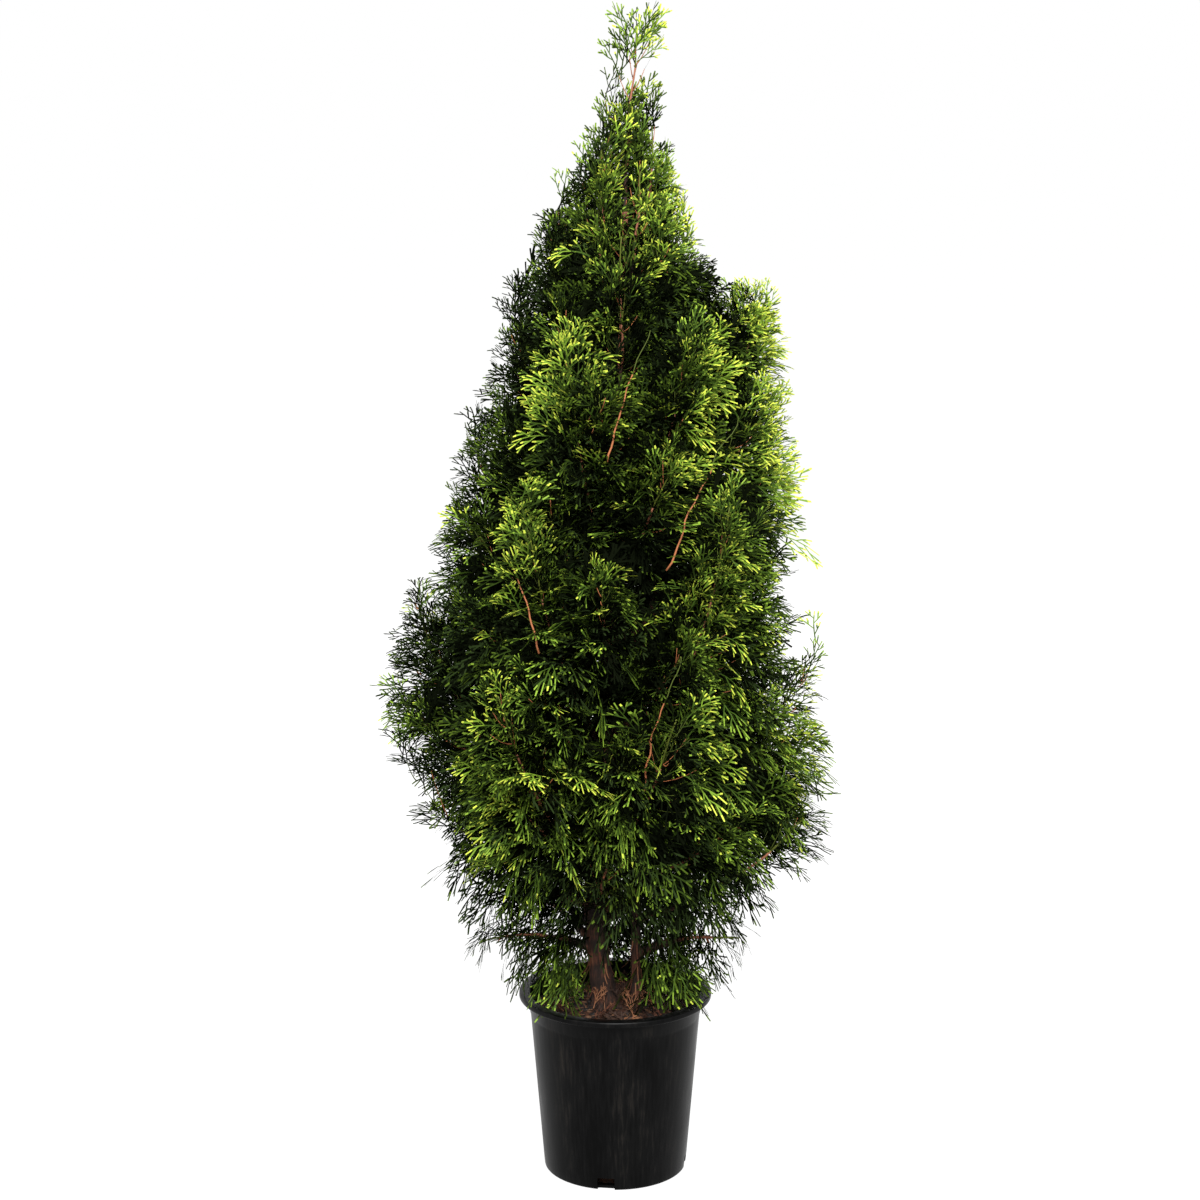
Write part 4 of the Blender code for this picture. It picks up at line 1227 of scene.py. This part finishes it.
def fill_trunk(heap, chance, fills, count):
    """Shoots close round the trunk, dark with painted shade."""
    low, high = FILL_HEIGHTS
    for k in range(count):
        height = low + (high - low) * ((k + 0.5) / count) ** 1.3
        centre, _ = place_on(TRUNK, height)
        way = polar(1.0, k * GOLDEN, 0.0)
        span = crown_size(height)[1] * 0.42
        for j in range(4):
            origin = centre + way * (span * (0.10 + 0.22 * j)) + Vector((0, 0, 0.03 * j))
            aim = (way + Vector([chance.gauss(0, 0.7) for _ in range(3)]) + Vector((0, 0, 0.4))).normalized()
            place_fill(heap, chance, chance, fills, origin, aim, chance.uniform(0.075, 0.110))


def left_out(chance, origin, aim, middle, depth, aside, high):
    """Whether a spray is left out where the crown is open, or where it would close a fold in front."""
    if chance.random() < high * OPEN_TOP:
        return True
    thin = min(1.0, max(0.0, (0.52 - origin.z) / 0.12)) if abs(aim.x) > 0.5 else 0.0
    if chance.random() < OPEN_LOW * thin:
        return True
    if aside > 0.55 and middle.x > 0 and middle.z < 1.0 and chance.random() < OPEN_RIGHT:
        return True
    return aside < 0.72 and high == 0 and depth > 0.93 + plume(middle) * 0.34


def spray_level(chance, mass, share, middle, depth, aside, high):
    """How much painted light a spray gets, as a place among LEVELS: by its mass, its depth and where the
    light falls.
    """
    tone = MASS_LIGHTS.get(mass.name, 0.48 + 0.20 * math.cos(mass.azimuth) + 0.14 * abs(math.sin(mass.azimuth)))
    light = tone * 0.5 - 0.05 + (max(depth, 0.60) - 0.70) * (0.8 + 1.2 * tone) + (share - 0.35) * 0.3
    light += chance.gauss(0, CHANCE_LIGHT) + plume(middle) * RIDGE_LIGHT
    light += high * (TOP_SUN if middle.x > SUNNY_FROM else TOP_LIGHT)
    light -= LOW_SHADE if mass.tier in LOW_TIERS else 0.0
    light -= max(0.0, 0.60 - middle.z)
    light += 0.8 * min(max(middle.x, -0.06), 0.12) * min(max((middle.z - 0.76) / 0.20, 0.0), 1.0)
    sunlit = high > 0 or (middle.x > 0 and middle.z > 0.95)
    light -= (0.0 if sunlit else SIDE_SHADE) * max(0.0, aside - 0.35)
    light += BACK_LIGHT if middle.y > 0.08 else 0.0
    light += EDGE_LIGHT if middle.x > 0 and aside > 0.72 and middle.z > 0.45 else 0.0
    return int(np.searchsorted(LEVEL_STEPS, light))


def dress_twig(heap, chance, mass, k, count, droop, stock):
    """One twig of a mass: sprays by turns on its sides, painted-shade ones at its foot, and the twig itself.
    """
    start, direction, length = twig_rule(mass, k, count)
    high = max(0.0, (start.z - TOP_FROM) / TOP_SPAN)
    low = mass.tier in LOW_TIERS
    normal = open_face(mass.random, direction)
    kept = 0.0
    for share, swing, size_share in TWIG_SPRAYS:
        own = math.radians(swing + mass.random.uniform(-10, 10))
        face = Matrix.Rotation(mass.random.gauss(0, 0.35), 3, direction) @ normal
        aim = (Matrix.Rotation(own, 3, face) @ direction).normalized()
        aim = (aim + flow(start + direction * length) * 0.40).normalized()
        origin = start + direction * (length * share)
        size = max(0.062, length * size_share * 1.1) * mass.random.uniform(0.80, 1.20)
        hang = HANG[mass.tier] + max(0.0, 1 - high * 2) * chance.uniform(0, droop)
        size = kept_size(chance, origin, aim, size, mass.edge, hang)
        if size is None or in_parting(chance, origin, aim, size):
            continue
        middle = origin + aim * (size * 0.6)
        depth = crown_share(middle)
        centre, half = crown_size(middle.z)
        aside = abs(middle.x - centre) / half
        if left_out(chance, origin, aim, middle, depth, aside, high):
            continue
        kept = max(kept, share)
        near = depth > NEAR_SHARE or middle.z > NEAR_HEIGHT
        whippy = low or (depth > 0.80 and chance.random() < 0.08)
        if near and whippy:
            size = kept_size(chance, origin, aim, size * 1.3, mass.edge, hang) or size
        grown = stock.opens if high > 0.2 else stock.whips if whippy else stock.fans
        spray = chosen(chance, grown if near else stock.fills, size)
        level = spray_level(chance, mass, share, middle, depth, aside, high)
        place_spray(heap, spray, origin, aim, face, size, hang, level_kinds(level))
    for _ in range(2 if not low and high == 0 else 0):
        aim = (direction + Vector([mass.random.gauss(0, 0.6) for _ in range(3)])).normalized()
        origin = start + direction * (length * mass.random.uniform(-0.1, 0.25))
        place_fill(heap, chance, mass.random, stock.fills, origin, aim, mass.random.uniform(0.065, 0.100))
    if kept:
        kind = "twigs_orange" if mass.random.random() < 0.25 + high else "twigs_green"
        add_twig(heap, kind, start, start + direction * (length * kept))


def dress_end(heap, chance, mass, fans):
    """The sprays that close a stem."""
    heading = mass.heading(STEM_END)
    for back, swing in ((0.002, 0), (0.016, 38), (0.030, -38)):
        origin = mass.along(STEM_END) - heading * back
        face = Matrix.Rotation(chance.uniform(0, 3), 3, heading) @ across(heading)
        aim = Matrix.Rotation(math.radians(swing), 3, face) @ heading
        size = kept_size(chance, origin, aim, chance.uniform(0.046, 0.060), 0.95)
        if size:
            spray = chosen(chance, fans, size)
            # Their step of painted light and shade is dealt by chance.
            kinds = level_kinds(chance.choice((1, 1, 2)))
            place_spray(heap, spray, origin, aim, face, size, 0.0, kinds)


def make_foliage(foliage):
    """Twigs, sprays and new-growth tips of every bough, by the source's rule, the sprays in painted light and
    shade.
    """
    chance = random.Random(f"{SEED} sprays")
    stock = Stock()
    heap = Heap()
    for mass in all_boughs(foliage):
        stem = (mass.tip - mass.along(mass.bare)).length
        count = max(FEWEST_TWIGS, round(stem / (foliage.twig_step * SPARSE.get(mass.tier, 1.0))))
        dress_end(heap, chance, mass, stock.fans)
        for k in range(count):
            dress_twig(heap, chance, mass, k, count, foliage.droop, stock)
    fill_trunk(heap, chance, stock.fills, foliage.inner_shoots)
    hang_low_sprays(heap, chance, stock.whips)
    add_long_shoots(heap)
    dealt = {
        "sprays": (foliage.shade_leaf, foliage.half_shade_leaf, foliage.mid_leaf, foliage.full_light_leaf),
        "tips": (foliage.shade_tip, foliage.half_shade_tip, foliage.mid_tip, foliage.full_light_tip),
    }
    covers = FOLIAGE_NODES
    for word, finish in (("sprays", "leaf"), ("tips", "new_growth")):
        for level, colour in zip(LEVELS, dealt[word]):
            sheen = 0.0 if level in ("shade", "deep") else 0.04
            material = plain_finish(f"thuja_{finish}_{level}", colour, 0.55, sheen)
            for piece in heap.pieces(f"{word}_{level}", material):
                if covers:
                    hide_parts(*covers)
                    covers = ()
    heap.pieces("twigs_green", plain_finish("green_twig", foliage.green_twig, 0.55, 0.08))
    heap.pieces("twigs_orange", plain_finish("orange_twig", foliage.orange_twig, 0.6, 0.12))


# ---------------------------------------------------------------- stage
def lit_paper(colour, glow):
    """White paper lit from behind: even and bright, with a faint shadow where the pot stands."""
    made = plain_finish("backlit_white_paper", colour, 0.9, 0.0)
    shader = made.node_tree.nodes["Principled BSDF"]
    shader.inputs["Emission Color"].default_value = (1, 1, 1, 1)
    shader.inputs["Emission Strength"].default_value = glow
    return made


def hang_lamp(name, stage, place, power):
    """A soft square lamp aimed at the plant."""
    light = bpy.data.lights.new(name, "AREA")
    light.size = stage.lamp_size
    light.energy = power
    lamp = bpy.data.objects.new(name, light)
    bpy.context.scene.collection.objects.link(lamp)
    lamp.location = place
    lamp.rotation_euler = (Vector(stage.lamp_aim) - lamp.location).to_track_quat("-Z", "Y").to_euler()


def make_stage(stage):
    """A pale floor, soft lamps in front and behind, an even white studio and the camera."""
    deselect()
    bpy.ops.mesh.primitive_plane_add(size=stage.floor_size)
    floor = bpy.context.object
    floor.name = "floor"
    floor.data.materials.append(lit_paper(stage.floor_colour, stage.floor_glow))
    world = bpy.data.worlds.new("studio")
    world.use_nodes = True
    tree = world.node_tree
    background = tree.nodes["Background"]
    background.inputs["Color"].default_value = (1, 1, 1, 1)
    seen = add_node(tree, "ShaderNodeLightPath").outputs["Is Camera Ray"]
    strengths = {"To Min": stage.sky_strength, "To Max": 1.0}
    strength = add_node(tree, "ShaderNodeMapRange", strengths, {"Value": seen})
    tree.links.new(strength.outputs[0], background.inputs["Strength"])
    bpy.context.scene.world = world
    hang_lamp("key", stage, stage.lamp_place, stage.lamp_power)
    hang_lamp("back", stage, stage.back_place, stage.back_power)
    lens = bpy.data.cameras.new("camera")
    lens.sensor_width = 36.0
    lens.lens = stage.lens
    lens.shift_x, lens.shift_y = stage.shift
    camera = bpy.data.objects.new("camera", lens)
    bpy.context.scene.collection.objects.link(camera)
    camera.location = stage.camera_place
    camera.rotation_euler = (math.pi / 2 - stage.camera_dip, 0, 0)
    bpy.context.scene.camera = camera
    bpy.context.scene.view_settings.view_transform = "Standard"


# ---------------------------------------------------------------- settings
def length_setting(name, description, value):
    return FloatProperty(
        name=name, description=description, default=value, min=0.0, precision=4, unit="LENGTH"
    )


def amount_setting(name, description, value, unit="NONE"):
    return FloatProperty(name=name, description=description, default=value, min=0.0, unit=unit)


def angle_setting(name, description, degrees):
    return FloatProperty(
        name=name, description=description, default=math.radians(degrees), subtype="ANGLE"
    )


def count_setting(name, description, value):
    return IntProperty(name=name, description=description, default=value, min=1)


def place_setting(name, description, value):
    return FloatVectorProperty(
        name=name, description=description, default=value, size=3, subtype="TRANSLATION"
    )


def colour_setting(name, description, hex_colour):
    colour = linear(hex_colour)
    return FloatVectorProperty(
        name=name, description=description, default=colour, size=4, min=0.0, max=1.0, subtype="COLOR"
    )


class ThujaPot(bpy.types.PropertyGroup):
    height: length_setting("Height", "From the floor to the top of the lip", 0.258)
    base_radius: length_setting("Foot radius", "Outer radius at the floor", 0.1000)
    top_radius: length_setting("Wall radius at the top", "Outer radius of the wall at the lip", 0.1215)
    lip_radius: length_setting("Lip radius", "Outer radius of the rolled lip", 0.1350)
    lip_height: length_setting("Lip height", "How tall the rolled lip is", 0.0080)
    wall: length_setting("Wall", "Thickness of the wall", 0.0026)
    floor: length_setting("Floor", "Thickness of the pot's floor", 0.0040)
    corner: length_setting("Foot rounding", "Radius of the rounded edge at the foot", 0.0030)
    band_drop: length_setting("Band drop", "How far the raised band reaches down from the top", 0.0300)
    band_step: length_setting("Band step", "How far the band stands out from the wall", 0.0009)
    slots: count_setting("Slots", "Number of drain slots round the foot", 4)
    slot_width: length_setting("Slot width", "Width of a drain slot", 0.0240)
    slot_height: length_setting("Slot height", "Height of a drain slot", 0.0180)
    slot_depth: length_setting("Slot depth", "How far a slot reaches in under the floor", 0.0160)
    slot_turn: angle_setting("First slot", "Direction of the first slot", 262.6)
    colour: colour_setting("Plastic", "Colour of the moulded plastic", "#030303")


class ThujaCompost(bpy.types.PropertyGroup):
    chips: count_setting("Bark chips", "Number of bark chips on the compost", 520)
    fallen_sprays: count_setting("Fallen sprays", "Number of dry sprays that lie there", 95)
    bark_strips: count_setting("Bark strips", "Number of loose strips of bark on the stems", 64)
    dark_chips: colour_setting("Dark chips", "Wet bark chips", "#0c0705")
    red_chips: colour_setting("Red chips", "Red-brown bark chips", "#23120a")
    pale_chips: colour_setting("Pale chips", "Dry bark chips", "#3c2718")
    russet: colour_setting("Russet", "Freshly dead sprays and bark strips", "#3e2012")
    tan: colour_setting("Tan", "Bleached dead sprays and bark strips", "#62402a")
    brown: colour_setting("Brown", "Old dead sprays", "#1e1008")


class ThujaWood(bpy.types.PropertyGroup):
    bough_radius: length_setting("Bough radius", "Radius of a bare bough before its mass", 0.0052)
    stem_radius: length_setting("Stem radius", "Radius of a stem where it enters its mass", 0.0029)
    tip_radius: length_setting("Stem tip", "Radius of a stem at its end", 0.0006)
    young_height: length_setting("Young wood from", "Height at which the trunk's bark turns smooth", 1.10)
    young_colour: colour_setting("Young wood", "Pinkish-orange bark of young stems", "#5e3a2a")
    green_colour: colour_setting("Green wood", "Yellow-green ends of the stems", "#353b12")


class ThujaFoliage(bpy.types.PropertyGroup):
    between_count: count_setting("Boughs between", "Thin boughs that fill the room between the masses", 54)
    twig_step: length_setting("Twig spacing", "Distance between twigs along a stem", 0.0084)
    inner_shoots: count_setting("Inner shoots", "Dark shoots round the trunk", 150)
    droop: amount_setting("Droop", "Most that a spray's tip hangs, as a share of its length", 0.30)
    # Leaves and tips in steps of painted light and shade, from shade to full light, not by age; tips are new
    # growth.
    shade_leaf: colour_setting("Shade leaf", "Leaf scales deep inside the crown", "#050703")
    half_shade_leaf: colour_setting("Deep leaf", "Old leaf scales in half shade", "#182209")
    mid_leaf: colour_setting("Mid leaf", "Leaf scales of this year", "#26360e")
    full_light_leaf: colour_setting("Fresh leaf", "Leaf scales on sunny shoots", "#465a18")
    shade_tip: colour_setting("Shade tip", "Fingertips deep inside the crown", "#141c0b")
    half_shade_tip: colour_setting("Deep tip", "Fingertips in half shade", "#2c390f")
    mid_tip: colour_setting("Mid tip", "Fingertips of this year", "#4f631e")
    full_light_tip: colour_setting("Fresh tip", "Lime fingertips on sunny shoots", "#7f882e")
    green_twig: colour_setting("Green twig", "Twigs of this year", "#2c3410")
    orange_twig: colour_setting("Orange twig", "Twigs that have turned to wood", "#6b4026")


class ThujaStage(bpy.types.PropertyGroup):
    floor_size: length_setting("Floor size", "Side of the paper floor", 300.0)
    floor_colour: colour_setting("Floor", "Colour of the paper floor", "#4a4a4a")
    floor_glow: amount_setting("Floor glow", "Light that comes through the paper", 0.88)
    sky_strength: amount_setting("Studio light", "Strength of the even white light", 1.75)
    lamp_power: amount_setting("Lamp power", "Power of the lamp in front", 760.0, "POWER")
    back_power: amount_setting("Back lamp power", "Power of the lamp behind the plant", 260.0, "POWER")
    lamp_size: length_setting("Lamp size", "Side of the square lamps", 1.4)
    lamp_place: place_setting("Lamp place", "Where the lamp in front hangs", (0.15, -3.5, 3.1))
    back_place: place_setting("Back lamp place", "Where the lamp behind the plant hangs", (0.9, 3.2, 3.0))
    lamp_aim: place_setting("Lamp aim", "The point that the lamps light", (0.0, 0.0, 0.9))
    lens: FloatProperty(name="Lens", description="Focal length", default=80.67, min=10.0, unit="CAMERA")
    shift: FloatVectorProperty(
        name="Shift", description="Shift of the lens", default=(-0.0127, -0.0261), size=2
    )
    camera_place: place_setting("Camera place", "Where the camera stands", (0.0, -3.6, 1.56))
    camera_dip: angle_setting("Camera dip", "How far the camera looks down", 11)


# ---------------------------------------------------------------- operators
class THUJA_OT_pot(bpy.types.Operator):
    """Turn the pot with its lip, band and drain slots"""

    bl_idname = "thuja.pot"
    bl_label = "Pot"

    def execute(self, context):
        make_pot(context.scene.thuja_pot)
        return {"FINISHED"}


class THUJA_OT_compost(bpy.types.Operator):
    """Fill the pot with compost"""

    bl_idname = "thuja.compost"
    bl_label = "Compost"

    def execute(self, context):
        make_soil(context.scene.thuja_pot)
        return {"FINISHED"}


class THUJA_OT_litter(bpy.types.Operator):
    """Strew bark chips, dry sprays and loose bark on the compost"""

    bl_idname = "thuja.litter"
    bl_label = "Litter"

    def execute(self, context):
        make_litter(context.scene.thuja_compost)
        return {"FINISHED"}


class THUJA_OT_wood(bpy.types.Operator):
    """Grow the trunk, the second stem, the boughs and the stems of the masses"""

    bl_idname = "thuja.wood"
    bl_label = "Trunk and boughs"

    def execute(self, context):
        if not BOUGH_NODES:
            raise RuntimeError("The frame has no boughs to dress")
        make_limbs(context.scene.thuja_wood, context.scene.thuja_foliage)
        return {"FINISHED"}


class THUJA_OT_foliage(bpy.types.Operator):
    """Grow twigs and sprays from every stem"""

    bl_idname = "thuja.foliage"
    bl_label = "Twigs and sprays"

    def execute(self, context):
        if not FOLIAGE_NODES:
            raise RuntimeError("The frame has no masses to dress")
        make_foliage(context.scene.thuja_foliage)
        return {"FINISHED"}


class THUJA_OT_stage(bpy.types.Operator):
    """Set up the floor, the light and the camera"""

    bl_idname = "thuja.stage"
    bl_label = "Stage"

    def execute(self, context):
        make_stage(context.scene.thuja_stage)
        return {"FINISHED"}


class THUJA_PT_sidebar(bpy.types.Panel):
    """Settings and steps of the potted thuja"""

    bl_idname = "THUJA_PT_sidebar"
    bl_label = "Potted thuja"
    bl_space_type = "VIEW_3D"
    bl_region_type = "UI"
    bl_category = "Thuja"

    def draw(self, context):
        for key, kind, steps in GROUPS:
            box = self.layout.box()
            for name in kind.__annotations__:
                box.prop(getattr(context.scene, key), name)
            for step in steps:
                box.operator(step.bl_idname)


# Where each group of settings is kept, and the operators that read it.
GROUPS = (
    ("thuja_pot", ThujaPot, (THUJA_OT_pot, THUJA_OT_compost)),
    ("thuja_compost", ThujaCompost, (THUJA_OT_litter,)),
    ("thuja_wood", ThujaWood, (THUJA_OT_wood,)),
    ("thuja_foliage", ThujaFoliage, (THUJA_OT_foliage,)),
    ("thuja_stage", ThujaStage, (THUJA_OT_stage,)),
)


def register():
    for key, kind, steps in GROUPS:
        bpy.utils.register_class(kind)
        setattr(bpy.types.Scene, key, PointerProperty(type=kind))
        for step in steps:
            bpy.utils.register_class(step)
    bpy.utils.register_class(THUJA_PT_sidebar)


def unregister():
    bpy.utils.unregister_class(THUJA_PT_sidebar)
    for key, kind, steps in reversed(GROUPS):
        for step in reversed(steps):
            bpy.utils.unregister_class(step)
        delattr(bpy.types.Scene, key)
        bpy.utils.unregister_class(kind)


def main():
    register()
    bpy.ops.thuja.pot()
    bpy.ops.thuja.compost()
    bpy.ops.thuja.litter()
    bpy.ops.thuja.wood()
    bpy.ops.thuja.foliage()
    bpy.ops.thuja.stage()


if __name__ == "__main__":
    main()
